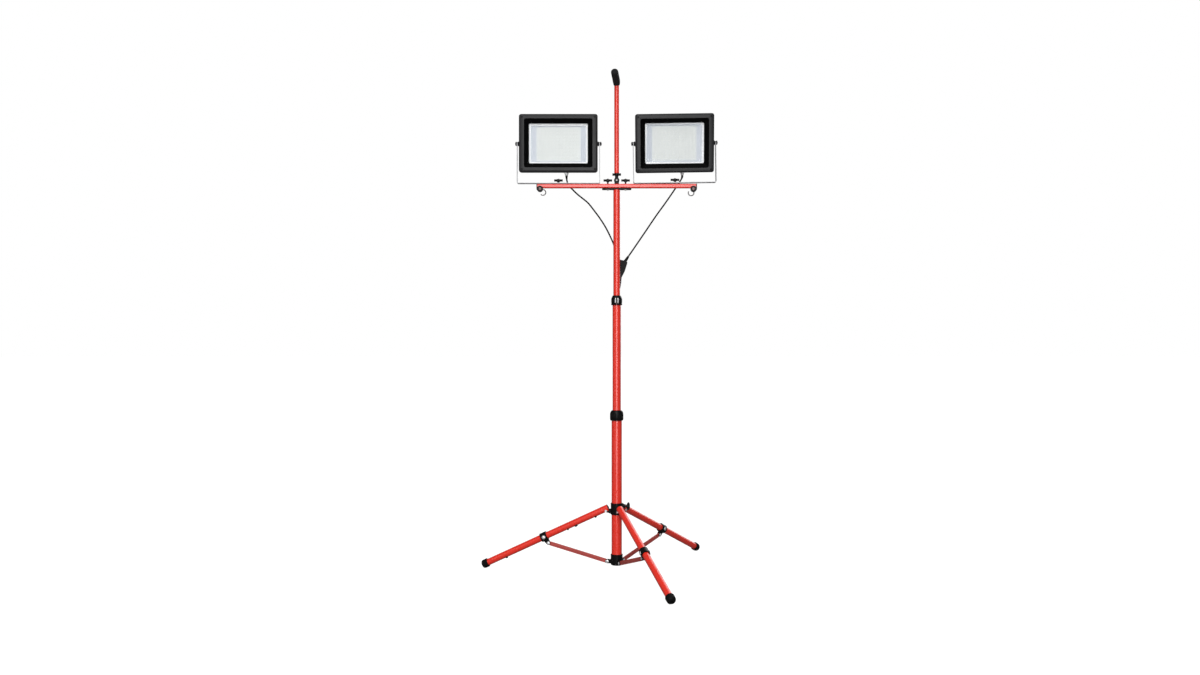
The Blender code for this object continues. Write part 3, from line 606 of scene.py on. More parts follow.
RED = enamel("red_powder_coat", (0.8, 0.029, 0.013), 0.27, (0.8, 0.09, 0.06), 0.08, 0.8)
STRUT_RED = enamel("strut_powder_coat", (0.42, 0.06, 0.05), 0.44, (0.5, 0.16, 0.13), 0.16)
CHARCOAL = enamel("charcoal_powder_coat", (0.02, 0.02, 0.0215), 0.42, (0.05, 0.05, 0.05), 0.16, 0.25)
BLACK = moulded("black_nylon", (0.004, 0.004, 0.0042), 0.34)
RUBBER = moulded("black_rubber_grain", (0.0045, 0.0045, 0.0047), 0.6, 900.0, 0.35, 0.1)
# Near-black: the frame seal's own colour, and painted shade where it lines the lamp's recess.
GASKET_AND_SHADE_BLACK = moulded("black_gasket", (0.0012, 0.0012, 0.0013), 0.6, 1100.0, 0.2, 0.05)
JACKET = moulded("cable_sheath", (0.006, 0.006, 0.0064), 0.48, 1700.0, 0.2)
STEEL = metal("yoke_steel", (0.34, 0.34, 0.35), 0.42, (14, 1, 1), 0.1, 0.55)
ZINC = metal("zinc_plate", (0.9, 0.9, 0.91), 0.3, metallic=0.7)
CHROME = metal("dark_chrome", (0.17, 0.16, 0.16), 0.2)
DULL_STEEL = metal("rim_steel", (0.15, 0.11, 0.11), 0.42)
NICKEL = metal("nickel_blade", (0.78, 0.75, 0.7), 0.22)
FOAM = foam_material()
REFLECTOR = reflector_material()
BOARD_WHITE = board_material()
# The chips glow with the board's painted light.
CHIP = moulded("led_chip", (0.72, 0.725, 0.66), 0.3, 2500.0, 0.05, 0.4, BOARD_PAINTED_GLOW)
GLASS = glass_material()

SLOT_MATERIALS = {
    "red_enamel": RED,
    "strut_red": STRUT_RED,
    "black_plastic": BLACK,
    "black_rubber": RUBBER,
    "grip_foam": FOAM,
    "charcoal_enamel": CHARCOAL,
    "grey_steel": STEEL,
    "zinc": ZINC,
    "chrome": CHROME,
    "reflector_white": REFLECTOR,
    "tempered_glass": GLASS,
    "cable_jacket": JACKET,
}


def smooth_shading_group():
    """Geometry nodes that join a CAD mesh's split seams and shade its round faces smooth."""
    group = bpy.data.node_groups.new("smooth_shading", "GeometryNodeTree")
    group.interface.new_socket("Geometry", in_out="INPUT", socket_type="NodeSocketGeometry")
    group.interface.new_socket("Geometry", in_out="OUTPUT", socket_type="NodeSocketGeometry")
    nodes, links = group.nodes, group.links
    unset = add_node(nodes, "GeometryNodeRemoveAttribute", Name="custom_normal")
    weld = add_node(nodes, "GeometryNodeMergeByDistance", Distance=1e-6)
    smooth = nodes.new("GeometryNodeSetShadeSmooth")
    crease = add_node(nodes, "GeometryNodeSetShadeSmooth", Shade_Smooth=False)
    crease.domain = "EDGE"
    angle = nodes.new("GeometryNodeInputMeshEdgeAngle")
    steep = nodes.new("FunctionNodeCompare")
    steep.data_type = "FLOAT"
    steep.operation = "GREATER_THAN"
    steep.inputs["B"].default_value = CREASE_ANGLE
    links.new(angle.outputs["Unsigned Angle"], steep.inputs["A"])
    links.new(steep.outputs["Result"], crease.inputs["Selection"])
    chain = (nodes.new("NodeGroupInput"), unset, weld, smooth, crease, nodes.new("NodeGroupOutput"))
    for before, after in zip(chain, chain[1:]):
        links.new(before.outputs["Geometry"], after.inputs["Geometry"])
    return group


def soften_edges(thing, width):
    """Rounds the sharp edges of a mesh a little, so that they catch the light."""
    bevel = thing.modifiers.new("edge", "BEVEL")
    bevel.width = width
    bevel.segments = 2
    bevel.limit_method = "ANGLE"
    bevel.angle_limit = CREASE_ANGLE


def repaint_cad_nodes():
    """Gives every CAD node its slot's material, smooth shading and, where moulded, softer edges."""
    shading = smooth_shading_group()
    for subpart in frame["record"]["subparts"]:
        thing = frame["nodes"][subpart["node"]]
        thing.modifiers.new("shading", "NODES").node_group = shading
        if thing.name.startswith(SOFT_EDGED):
            soften_edges(thing, 0.0004)
        material = SLOT_MATERIALS[subpart["material_slot"]]
        if not thing.material_slots:
            thing.data.materials.append(material)
        for slot in thing.material_slots:
            slot.material = material


# ---- camera, light and floor


def make_camera():
    data = bpy.data.cameras.new("camera")
    data.lens = CAMERA_LENS
    data.sensor_width = 36.0
    data.clip_start = 0.05
    camera = placed("camera", data)
    camera.location = on_mast((CAMERA_OFFSET_X, -CAMERA_DISTANCE, CAMERA_HEIGHT))
    camera.rotation_euler = (math.radians(90), 0, 0)
    bpy.context.scene.camera = camera


def make_light(name, kind, energy, location, target, size):
    """A light that faces its target. size is a sun's angle, or an area light's sides."""
    data = bpy.data.lights.new(name, kind)
    data.energy = energy
    if kind == "SUN":
        data.angle = size
    else:
        data.shape = "RECTANGLE"
        data.size, data.size_y = size
    light = placed(name, data)
    light.location = location
    light.rotation_euler = (Vector(target) - Vector(location)).to_track_quat("-Z", "Y").to_euler()


def make_studio():
    """White surroundings for the camera, a dimmer dome for the object, and broad soft lights."""
    scene = bpy.context.scene
    scene.view_settings.view_transform = "Standard"
    world = bpy.data.worlds.new("studio")
    scene.world = world
    world.use_nodes = True
    nodes, links = world.node_tree.nodes, world.node_tree.links
    dome, seen = nodes["Background"], nodes.new("ShaderNodeBackground")
    for background, strength in ((dome, DOME_STRENGTH), (seen, 1.0)):
        background.inputs["Color"].default_value = (1.0, 1.0, 1.0, 1.0)
        background.inputs["Strength"].default_value = strength
    path = nodes.new("ShaderNodeLightPath")
    mix = nodes.new("ShaderNodeMixShader")
    links.new(path.outputs["Is Camera Ray"], mix.inputs["Fac"])
    links.new(dome.outputs["Background"], mix.inputs[1])
    links.new(seen.outputs["Background"], mix.inputs[2])
    links.new(mix.outputs["Shader"], nodes["World Output"].inputs["Surface"])
    for light in LIGHTS:
        make_light(*light)


def make_floor():
    shape = bmesh.new()
    corners = ((-1, -1), (1, -1), (1, 1), (-1, 1))
    shape.faces.new([shape.verts.new((FLOOR_HALF * x, FLOOR_HALF * y, -0.0005)) for x, y in corners])
    floor = placed("floor", mesh_of("floor", shape))
    floor.data.materials.append(floor_material())
    floor.visible_diffuse = False
    floor.visible_glossy = False


# ---- cords


def cable_tube(name, path):
    """A round mesh tube with a ring at each point of the path, its ends slightly rounded."""
    radii = [CABLE_R] * len(path)
    radii[0] = radii[-1] = CABLE_R * 0.97
    return piece(name, swept(path, radii), JACKET, None)


def length_of(path):
    return sum((b - a).length for a, b in zip(path, path[1:]))


def strain_relief(name, path, radii, body):
    """Boot over the first part of a cord: plain where it starts, then tapered and ribbed."""
    dense = evenly([Vector(p) for p in path], 0.0008)
    ribs, rib_depth, plain = 6, 0.0005, 0.2
    sizes = []
    for i in range(len(dense)):
        part = i / (len(dense) - 1)
        size = radii[0] + (radii[1] - radii[0]) * part
        if part > plain:
            size -= rib_depth * (0.5 + 0.5 * math.cos(part * 2 * math.pi * ribs))
        sizes.append(size)
    return piece(name, swept(dense, sizes, 20), RUBBER, body)


def make_lamp_cable(side, points):
    """A lamp's cable in two parts, split where it passes the crossbar's back, with a boot at the lamp."""
    route = smooth_route([on_mast(p) for p in points], 0.002)
    joint = min(i for i, p in enumerate(route) if p.z < CROSSBAR_BACK_Z)
    upper_path, lower_path = route[:joint + 1], route[joint:]
    boot = strain_relief(f"gland_boot_{side}", upper_path[:7], (0.0046, 0.0034), f"lamp_{side}")
    upper = cable_tube(f"cable_{side}_upper", upper_path)
    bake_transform(upper)
    lower = cable_tube(f"cable_{side}_lower", lower_path)
    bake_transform(lower)
    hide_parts(f"lamp_cable_{side}")


def hank_path():
    """The lead's line through its hank: down the front, round, up the back, and over to the next slot."""
    low, high = HANK_ARC_Z
    run, arc = 9, 16
    delay, span = 0.1, 0.6
    points = []
    for i, (x, reach) in enumerate(HANK_SLOTS[:-1]):
        for step in range(1, run):
            points.append((x, -reach, high + (low - high) * step / run))
        for step in range(arc + 1):
            angle = math.pi * step / arc
            points.append((x, -reach * math.cos(angle), low - reach * math.sin(angle)))
        for step in range(1, run):
            points.append((x, reach, low + (high - low) * step / run))
        next_x, next_reach = HANK_SLOTS[i + 1]
        start = delay * (len(HANK_SLOTS) - 2 - i)
        for step in range(arc + 1):
            part = step / arc
            go = min(1.0, max(0.0, (part - start) / span))
            go = go * go * (3 - 2 * go)
            here_x, here_reach = x + (next_x - x) * go, reach + (next_reach - reach) * go
            angle = math.pi * part
            points.append((here_x, here_reach * math.cos(angle), high + here_reach * math.sin(angle)))
    last_x, last_reach = HANK_SLOTS[-1]
    for step in range(1, run):
        points.append((last_x, -last_reach, high + (low - high) * step / (run - 1)))
    return [Vector((HANK_X + x, HANK_Y + y, z)) for x, y, z in points]


def plug_relief():
    """Ribbed sleeve where the lead enters its plug."""
    profile = [(0.0041, 0.0)]
    for i in range(6):
        high = -0.002 - 0.0048 * i
        size = 0.0045 + 0.0004 * i
        profile += [(size + 0.0005, high), (size + 0.0006, high - 0.0026), (size, high - 0.0032)]
    profile.append((0.0066, -0.0325))
    return turned(profile, count=24)


def plug_shell():
    """The plug's body, one outline grown and shrunk along its length."""
    width, depth = PLUG_SIZE
    rings = []
    for size, height in PLUG_LEVELS:
        outline = rounded_rectangle(width * size, depth * size, 0.0065 * size)
        rings.append([(x, y, height) for x, y in outline])
    return skin(rings)


def plug_ridge(high):
    """Low ridge across the plug's body, to hold it by."""
    outline = rounded_rectangle(0.025, 0.02, 0.0015)
    levels = ((0.985, high), (1.0, high - 0.0004), (1.0, high - 0.0014), (0.985, high - 0.0018))
    return skin([[(x * size, y, z) for x, y in outline] for size, z in levels])


def plug_blade(x_middle):
    """Flat blade with a chamfered tip."""
    outline = rounded_rectangle(0.0015, 0.0066, 0.0004, 2)
    rings = []
    for size, height in ((1.0, -0.063), (1.0, -0.0805), (0.7, -0.082)):
        rings.append([(x_middle + x * size, -0.0033 + y * size, height) for x, y in outline])
    return skin(rings)


def make_plug():
    """Moulded three-pin plug at the end of the lead."""
    place = shift(*on_mast(PLUG_TOP))
    parts = [plug_relief(), plug_shell()]
    for i in range(5):
        parts.append(plug_ridge(-0.038 - 0.0036 * i))
    body = piece("plug_body", joined(parts), RUBBER, "head", place)
    pins = [plug_blade(x) for x in (-0.0063, 0.0063)]
    pin = turned([(0.0024, -0.063), (0.0024, -0.0822), (0.0014, -0.0838)], count=20)
    pins.append(moved(pin, shift(0, 0.0085, 0)))
    blades = piece("plug_blades", joined(pins), NICKEL, "head", place)
    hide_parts("mains_plug")
    return [body, blades]


def make_hank_tie():
    """Strap wound round the middle of the hank, with a buckle at its back."""
    middle = (HANK_ARC_Z[0] + HANK_ARC_Z[1]) / 2
    outside = rounded_rectangle(0.0218, 0.0634, 0.004, 6)
    inside = rounded_rectangle(0.0196, 0.0612, 0.0032, 6)
    edges = ((outside, -0.006), (outside, 0.006), (inside, 0.006), (inside, -0.006))
    strap = skin([[(x, y, z) for x, y in line] for line, z in edges], True)
    buckle_line = rounded_rectangle(0.017, 0.016, 0.002)
    buckle = skin([[(x, 0.0316 + raised, z) for x, z in buckle_line] for raised in (0.0, 0.001, 0.0014)])
    place = shift(*on_mast((HANK_X, HANK_Y, middle)))
    return piece("hank_tie", joined([strap, buckle]), RUBBER, "head", place, 0.0002)


def make_lead():
    """Mains lead from the splitter, folded into a tied hank behind the mast, and its plug."""
    start = smooth_route([on_mast(p) for p in LEAD_ROUTE], 0.004)
    hank = evenly([MAST + p for p in hank_path()], 0.005)
    end = [on_mast((PLUG_TOP[0], PLUG_TOP[1], HANK_ARC_Z[0] - 0.006)), on_mast(PLUG_TOP)]
    path = start + hank + end
    curve = bpy.data.curves.new("mains_cord", "CURVE")
    curve.dimensions = "3D"
    curve.bevel_depth = LEAD_R
    curve.bevel_resolution = 3
    curve.use_fill_caps = True
    spline = curve.splines.new("POLY")
    spline.points.add(len(path) - 1)
    for target, point in zip(spline.points, path):
        target.co = (*point, 1.0)
    curve.materials.append(JACKET)
    lead = placed("mains_cord", curve)
    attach(lead, "head")
    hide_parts("mains_lead", "mains_hank")
    boot = strain_relief("lead_boot", start[:7], (0.005, 0.0041), "head")
    with_pieces = [boot, make_hank_tie()] + make_plug()


# ---- fasteners


def socket_screw(radius, height):
    """Round screw head along +Z with a chamfered rim and a hexagonal socket."""
    count = 24
    rings = [
        circle(radius, 0.0, count), circle(radius, height * 0.72, count),
        circle(radius * 0.86, height, count), polygon_ring(radius * 0.52, height, 6, count),
        polygon_ring(radius * 0.5, height * 0.35, 6, count),
    ]
    return skin(rings)


def disc(radius, height):
    """Plain round pad along +Z."""
    return turned([(radius, 0.0), (radius - 0.0002, height)], count=24)


def domed_rivet(radius, height):
    """Rivet head along +Z: a washer, a low dome and a dimple."""
    profile = [(radius, 0.0), (radius, height * 0.28), (radius * 0.8, height * 0.34)]
    for step in range(1, 7):
        angle = math.radians(12 * step)
        profile.append((radius * 0.8 * math.cos(angle), height * (0.34 + 0.66 * math.sin(angle))))
    profile.append((radius * 0.16, height * 0.86))
    return turned(profile, count=28)


# ---- tripod


def at_pivot(azimuth, pivot):
    """Takes a pivot's own frame, x away from the mast, into the row frame."""
    return shift(*MAST) @ about_z(azimuth) @ shift(pivot[0], 0, pivot[1])


def leg_slope():
    run, drop = FOOT_CENTRE[0] - LEG_PIVOT[0], LEG_PIVOT[1] - FOOT_CENTRE[1]
    return math.atan2(drop, run) + math.asin(LEG_AXIS_OFFSET / math.hypot(run, drop))


def both_sides(make, reach, *sizes):
    """The same head on both ends of a pin that lies along Y."""
    return joined([moved(make(*sizes), shift(0, sign * reach, 0) @ about_x(-90 * sign))
                   for sign in (-1, 1)])


def through_rivet(head):
    """Rivet that passes through a fork along Y, with the same head at both ends."""
    pin = turned([(RIVET_PIN_R, -RIVET_PIN_REACH), (RIVET_PIN_R, RIVET_PIN_REACH)], count=20)
    return joined([both_sides(domed_rivet, FORK_OUTSIDE, *head), moved(pin, about_x(90))])


def leg_top_ring():
    """Plastic ring in the leg tube's upper end."""
    edge, bore, hole = LEG_R - 0.0004, LEG_R - 0.0016, 0.006
    return turned([(hole, 0.0), (edge - 0.0011, 0.0001), (edge, 0.0008), (edge, 0.0011),
                   (bore, 0.0012), (bore, 0.003), (hole, 0.003)], True, 28)


def make_leg_details(number, azimuth):
    """Fittings of the strut's pivot, the leg's top and its foot. Returns the leg's place."""
    slope = leg_slope()
    place = at_pivot(azimuth, LEG_PIVOT) @ about_y(math.degrees(slope))
    run, rise = STRUT_LEG_PIVOT[0] - LEG_PIVOT[0], STRUT_LEG_PIVOT[1] - LEG_PIVOT[1]
    along = run * math.cos(slope) - rise * math.sin(slope)
    above = run * math.sin(slope) + rise * math.cos(slope)
    length = math.hypot(FOOT_CENTRE[0] - LEG_PIVOT[0], LEG_PIVOT[1] - FOOT_CENTRE[1])
    bolt = place @ shift(along + CLAMP_BOLT_AHEAD, 0, LEG_AXIS_OFFSET)
    top = place @ shift(LEG_TOP_FROM_PIVOT, 0, LEG_AXIS_OFFSET) @ about_y(90)
    foot = place @ shift(length - FOOT_RIBS_FROM_END, 0, LEG_AXIS_OFFSET) @ about_y(90)
    pads = both_sides(disc, CLAMP_HALF_WIDTH, *CLAMP_PAD)
    heads = both_sides(domed_rivet, CLAMP_PAD_OUTSIDE, *CLAMP_BOLT_HEAD)
    rims = joined([moved(rim, about_y(90)) for rim in rings_of(CLAMP_RIM, CLAMP_RIM_PLACES)])
    for name, shape, material, slot, at, edge in (
        ("strut_rivet", through_rivet(STRUT_RIVET_HEAD), ZINC, "zinc", place @ shift(along, 0, above), 0.0),
        ("clamp_pads", pads, BLACK, "black_plastic", bolt, 0.0003),
        ("clamp_bolt", heads, ZINC, "zinc", bolt, 0.0),
        ("clamp_rims", rims, BLACK, "black_plastic", place @ shift(along, 0, LEG_AXIS_OFFSET), 0.0),
        ("leg_top_ring", leg_top_ring(), BLACK, "black_plastic", top, 0.0),
        ("foot_ribs", joined(rings_of(FOOT_RIB, FOOT_RIB_PLACES)), RUBBER, "black_rubber", foot, 0.0),
    ):
        piece(f"{name}_{number}", shape, material, f"leg_{number}", at, edge)
    return place


def strut_outline(length):
    """Side view of a strut: round ends about its two pivots, and a deeper straight middle."""
    near, far = -STRUT_NECK, STRUT_NECK - length
    ends = (
        (0.0, -80, [(near, STRUT_HALF), (far, STRUT_HALF)]),
        (-length, 100, [(far, -STRUT_HALF), (near, -STRUT_HALF)]),
    )
    points = []
    for centre, first, straight in ends:
        for step in range(9):
            angle = math.radians(first + 20 * step)
            points.append((centre + STRUT_END_R * math.cos(angle), STRUT_END_R * math.sin(angle)))
        points += straight
    return points


def make_strut(number, azimuth):
    """Pressed steel strut with a shallow rib along the middle of each face."""
    run = STRUT_LEG_PIVOT[0] - STRUT_HUB_PIVOT[0]
    rise = STRUT_LEG_PIVOT[1] - STRUT_HUB_PIVOT[1]
    length = math.hypot(run, rise)
    half = STRUT_THICK / 2
    bar = skin([[(x, y, z) for x, z in strut_outline(length)] for y in (-half, half)])
    rib_line = rounded_rectangle(length - 0.044, 0.006, 0.0028)
    proud = half + 0.0004
    levels = ((0.97, -proud), (1.0, -half), (1.0, half), (0.97, proud))
    rib = skin([[(x * size - length / 2, y, z * size) for x, z in rib_line] for size, y in levels])
    place = at_pivot(azimuth, STRUT_LEG_PIVOT) @ about_y(-math.degrees(math.atan2(rise, run)))
    strut = piece(f"strut_bar_{number}", joined([bar, rib]), STRUT_RED, f"strut_{number}",
                  place, 0.0004)
    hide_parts(f"strut_{number}")


def make_leg_bungs(place):
    """Small black bungs in the holes along the front and underside of the left leg."""
    bungs = []
    for along, size in LEG_BUNGS:
        bung = turned([(0.004, -0.001), (0.004, 0.0022), (0.003, 0.0034)], count=20)
        bung.transform(Matrix.Diagonal((size, 1.0, 1.0, 1.0)))
        at = shift(along, 0, LEG_AXIS_OFFSET) @ about_x(LEG_BUNG_TURN) @ shift(0, 0, LEG_R)
        bungs.append(moved(bung, at))
    piece("leg_bungs_1", joined(bungs), BLACK, "leg_1", place)


def make_tripod_details():
    for number, azimuth in enumerate(LEG_AZIMUTHS, 1):
        place = make_leg_details(number, azimuth)
        piece(f"hub_rivet_{number}", through_rivet(HUB_RIVET_HEAD), ZINC, "stand",
              at_pivot(azimuth, STRUT_HUB_PIVOT))
        make_strut(number, azimuth)
        if number == 1:
            make_leg_bungs(place)
    rims = joined(rings_of(LEG_HUB_RIM, LEG_HUB_RIM_PLACES, 40))
    piece("leg_hub_rims", rims, BLACK, "tripod_hub", shift(*MAST))
    rims = joined(rings_of(LOWER_HUB_RIM, LOWER_HUB_RIM_PLACES, 40))
    piece("lower_hub_rims", rims, BLACK, "stand", shift(*MAST))


# ---- mast


def grip_ribs(count, radius, depth, low, high):
    """Rounded upright ribs round a collar, thinner at their two ends."""
    tip = depth * 0.4
    levels = (
        (low, radius - tip, tip), (low + 0.0012, radius, depth),
        (high - 0.0012, radius, depth), (high, radius - tip, tip),
    )
    ribs = []
    for i in range(count):
        rib = skin([[(middle + x, y, z) for x, y, z in circle(size, height, 10)]
                    for height, middle, size in levels])
        ribs.append(moved(rib, about_z(360 * i / count)))
    return joined(ribs)


def make_collar_details():
    """Ribs of both twist collars, the lower one's bush, and two bright zinc strips on the upper one's front
    that paint its highlights.
    """
    place = shift(*MAST)
    piece("lower_collar_ribs", grip_ribs(*LOWER_COLLAR_RIBS), BLACK, "lower_collar", place)
    piece("upper_collar_ribs", grip_ribs(*UPPER_COLLAR_RIBS), BLACK, "upper_collar", place)
    # Painted highlights: two bright zinc strips where the collar's front shows two highlights.
    highlight_plates = []
    for x in (-COLLAR_HIGHLIGHT_PLATE_X, COLLAR_HIGHLIGHT_PLATE_X):
        outline = rounded_rectangle(0.0042, 0.0172, 0.0008, 2)
        plate = skin([[(a, depth, b) for a, b in outline] for depth in (0.0012, -0.0004, -0.0008)])
        angle = math.degrees(math.asin(x / 0.0198))
        highlight_plates.append(moved(plate, about_z(angle) @ shift(0, -0.0196, 0.976)))
    piece("upper_collar_plates", joined(highlight_plates), ZINC, "upper_collar", place, 0.0002)
    bush = turned([(0.0152, 0.5786), (0.0172, 0.579), (0.017, 0.5806), (0.0154, 0.5812)], True, 36)
    piece("lower_collar_bush", bush, BLACK, "lower_collar", place)


# ---- head


def make_bracket_details(place):
    """Bolts under the crossbar bracket and across the handle's post."""
    heads = []
    for x in (-BRACKET_BOLT_X, BRACKET_BOLT_X):
        heads.append(moved(domed_rivet(0.0062, 0.003), shift(x, 0, BRACKET_UNDERSIDE_Z) @ about_x(180)))
    piece("bracket_bolts", joined(heads), ZINC, "head", place)
    screw = moved(socket_screw(0.003, 0.0016), shift(*HANDLE_POST_BOLT) @ about_x(90))
    piece("handle_post_bolt", screw, CHROME, "head", place)


def make_end_cap_details(side, sign, place):
    """Bolt and moulded ribs of a crossbar end cap."""
    x, y, z = END_CAP_BOLT
    screw = moved(socket_screw(0.0058, 0.002), shift(sign * x, y, z) @ about_x(90))
    piece(f"end_cap_bolt_{side}", screw, DULL_STEEL, "head", place)
    ribs = []
    for height in END_CAP_RIB_HEIGHTS:
        outline = rounded_rectangle(0.012, 0.001, 0.0004, 1)
        rib = skin([[(proud, a, b) for a, b in outline] for proud in (0.0, sign * 0.0006)])
        ribs.append(moved(rib, shift(sign * END_CAP_FACE_X, 0, height)))
    piece(f"end_cap_ribs_{side}", joined(ribs), BLACK, "head", place)


def make_head_details():
    place = shift(*MAST)
    make_bracket_details(place)
    for side, sign in SIDES:
        make_end_cap_details(side, sign, place)
    for side, sign in SIDES:
        stud = turned([(0.0029, 1.4128), (0.0029, 1.4148), (0.002, 1.4155)], count=18)
        piece(f"crossbar_knob_stud_{side}", moved(stud, shift(sign * BRACKET_BOLT_X, 0, 0)), DULL_STEEL,
              f"crossbar_knob_{side}", place)


def grip_path():
    """Middle line of the crook: a bend away from the upright tube, then a straight stretch."""
    forward = Vector((math.sin(GRIP_YAW), math.cos(GRIP_YAW), 0))
    top = Vector((0, 0, GRIP_FOOT_Z))
    path = [top + Vector((0, 0, 0.004))]
    for step in range(1, 13):
        angle = GRIP_LEAN * step / 12
        rise = Vector((0, 0, GRIP_BEND_R * math.sin(angle)))
        path.append(top + forward * GRIP_BEND_R * (1 - math.cos(angle)) + rise)
    way = (forward * math.sin(GRIP_LEAN) + Vector((0, 0, math.cos(GRIP_LEAN)))).normalized()
    bend_end = path[-1]
    for step in range(1, 24):
        path.append(bend_end + way * (GRIP_STRAIGHT * step / 23))
    return path[:1] + [p for p in path[1:] if (p - path[0]).length > 0.002]


def grip_radius(done, left):
    """The foam's radius: it grows out of its cuff, has shallow rings, and ends in a round nose."""
    if left < GRIP_NOSE:
        return 0.004 + 0.0092 * math.sqrt(max(0.0, 1 - ((GRIP_NOSE - left) / GRIP_NOSE) ** 2))
    size = 0.01 + 0.0033 * min(1.0, done / 0.014) ** 0.6
    if done > 0.012:
        size -= 0.00035 * (0.5 + 0.5 * math.cos(done * 2 * math.pi / 0.007)) ** 4
    return size


def make_grip():
    """Foam sleeve over the handle's crook."""
    path = grip_path()
    total = length_of(path)
    radii, done = [], 0.0
    for i, point in enumerate(path):
        if i:
            done += (point - path[i - 1]).length
        radii.append(grip_radius(done, total - done))
    grip = piece("foam_grip", swept([MAST + p for p in path], radii, 32), FOAM, "handle")
    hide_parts("handle_grip")


# ---- lamps


def lamp_place(side):
    """Takes a lamp's own frame, about its tilt axis, into the row frame."""
    lamp = LAMPS[side]
    turn = Euler((math.radians(lamp["tilt"]), math.radians(lamp["roll"]), 0)).to_matrix().to_4x4()
    return shift(*on_mast(lamp["centre"])) @ turn


def grown(size, amount):
    return (size[0] + amount, size[1] + amount)


def recess_liner():
    """Near-black sheet laid over the sloping recess between the band and the glass: painted shade in the
    recess.
    """
    wide = (LAMP_SIZE[0] - 0.0374, LAMP_SIZE[1] - 0.0334)
    narrow = grown(WINDOW, -0.0006)
    return skin([upright_ring(wide, 0.007, -0.0227), upright_ring(narrow, 0.0045, -0.0103),
                 upright_ring(narrow, 0.0045, -0.009), upright_ring(wide, 0.007, -0.02)], True)


def led_board():
    plate = grown(BOARD, -0.0016)
    return skin([upright_ring(plate, 0.003, y) for y in (BOARD_Y + 0.0002, BOARD_Y - 0.001)])


def led_chips():
    """Rows of small square emitters on the front of the board."""
    levels = ((0.0056, 0.0), (0.0056, -0.0008), (0.0046, -0.0012), (0.004, -0.001))
    chips = []
    for column in range(CHIP_COLUMNS):
        for row in range(CHIP_ROWS):
            x = (column - (CHIP_COLUMNS - 1) / 2) * CHIP_PITCH
            z = (row - (CHIP_ROWS - 1) / 2) * CHIP_PITCH
            chip = skin([upright_ring((width, width), width * 0.16, y) for width, y in levels])
            chips.append(moved(chip, shift(x, BOARD_Y - 0.001, z)))
    return joined(chips)


def corner_screws(corner, depth, turn, *sizes):
    """Four socket screws at the corners of an upright rectangle."""
    screws = []
    for x in (-corner[0], corner[0]):
        for z in (-corner[1], corner[1]):
            screws.append(moved(socket_screw(*sizes), shift(x, depth, z) @ about_x(turn)))
    return joined(screws)


def driver_lid():
    """Lid of the driver box on the lamp's back, with a raised rim and a breather vent."""
    outside, inside, panel = (0.098, 0.068), (0.092, 0.062), (0.076, 0.06)
    lid = skin([upright_ring(outside, 0.0055, 0.0328), upright_ring(outside, 0.0055, 0.0334),
                upright_ring(inside, 0.004, 0.0336), upright_ring(panel, 0.004, 0.0334)])
    vent = turned([(0.006, 0.0), (0.006, 0.0016), (0.0048, 0.0026), (0.002, 0.0026)], count=28)
    return joined([lid, moved(vent, shift(0.02, 0.0332, 0) @ about_x(-90))])


def frame_seal():
    """Seal that shows as a thin line between the front frame and the housing."""
    outside, inside = grown(LAMP_SIZE, -0.0016), grown(LAMP_SIZE, -0.008)
    front, back = -0.0068, -0.006
    return skin([upright_ring(outside, 0.0075, front), upright_ring(outside, 0.0075, back),
                 upright_ring(inside, 0.0065, back), upright_ring(inside, 0.0065, front)], True)


def gland_nut():
    """Hexagonal nut under the lamp that clamps the cable."""
    x, y, top = GLAND
    nut = skin([circle(0.0066, top - 0.0002, 24), polygon_ring(0.0078, top - 0.0008, 6, 24),
                polygon_ring(0.0078, top - 0.0032, 6, 24), circle(0.0066, top - 0.0038, 24)])
    return moved(nut, shift(x, y, 0))


def tilt_washers():
    """Washers between the yoke's arms and the two tilt knobs."""
    washers = []
    for _, sign in SIDES:
        washer = turned([(0.0034, 0.0), (0.0064, 0.0), (0.0064, 0.0003), (0.0034, 0.0003)], True, 28)
        washers.append(moved(washer, shift(sign * (ARM_OUTSIDE - 0.0001), 0, 0) @ about_y(90 * sign)))
    return joined(washers)


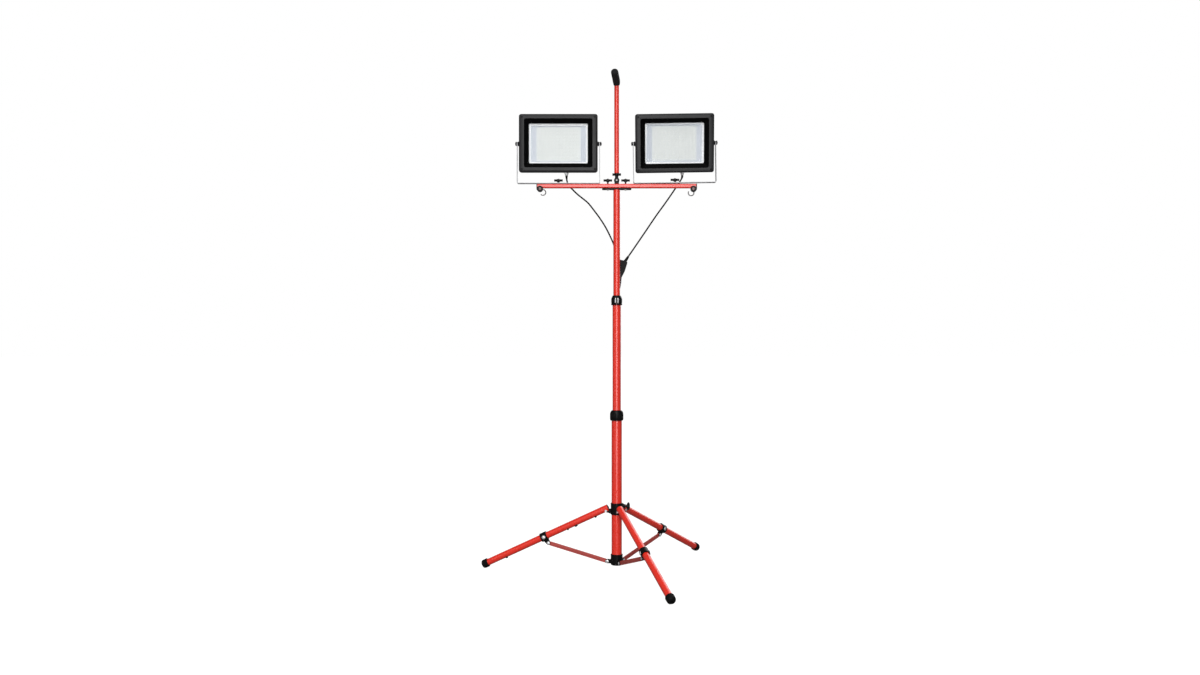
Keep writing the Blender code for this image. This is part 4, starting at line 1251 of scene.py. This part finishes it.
def make_yoke_bolt(side):
    """Bolt end over the yoke's clamp knob, and the washer under the knob."""
    place = shift(*on_mast(LAMPS[side]["stud"]))
    stud = turned([(0.0029, 1.4128), (0.0029, 1.4146), (0.002, 1.4152)], count=18)
    piece(f"yoke_stud_{side}", stud, DULL_STEEL, f"yoke_knob_{side}", place)
    washer = turned([(0.0034, 1.3999), (0.0084, 1.3999), (0.0084, 1.4006), (0.0034, 1.4006)], True, 32)
    piece(f"yoke_washer_{side}", washer, DULL_STEEL, f"yoke_{side}", place)


def make_lamp_details():
    """Every small piece of both lamps and their yokes."""
    for side in LAMPS:
        lamp, yoke, place = f"lamp_{side}", f"yoke_{side}", lamp_place(side)
        bezel_screws = corner_screws(BEZEL_SCREW_CORNER, -0.0217, 90, 0.003, 0.0012)
        cover_screws = corner_screws(COVER_SCREW_CORNER, 0.033, -90, 0.0028, 0.0014)
        for name, shape, material, body, slot in (
            # The recess liner is a near-black sheet that paints the recess's shade.
            ("recess_liner", recess_liner(), GASKET_AND_SHADE_BLACK, lamp, "black_plastic"),
            ("led_board", led_board(), BOARD_WHITE, lamp, "reflector_white"),
            ("led_chips", led_chips(), CHIP, lamp, "reflector_white"),
            ("bezel_screws", bezel_screws, BLACK, lamp, "black_plastic"),
            ("cover_screws", cover_screws, ZINC, lamp, "zinc"),
            ("driver_lid", driver_lid(), CHARCOAL, lamp, "charcoal_enamel"),
            ("frame_seal", frame_seal(), GASKET_AND_SHADE_BLACK, lamp, "black_rubber"),
            ("gland_nut", gland_nut(), ZINC, lamp, "zinc"),
            ("tilt_washers", tilt_washers(), BLACK, yoke, "black_plastic"),
        ):
            piece(f"{name}_{side}", shape, material, body, place)
        make_yoke_bolt(side)


# ---- assembly

make_camera()
repaint_cad_nodes()
make_lamp_cable("left", LEFT_CABLE_ROUTE)
make_lamp_cable("right", RIGHT_CABLE_ROUTE)
make_lead()
make_studio()
make_floor()
make_tripod_details()
make_collar_details()
make_head_details()
make_grip()
make_lamp_details()
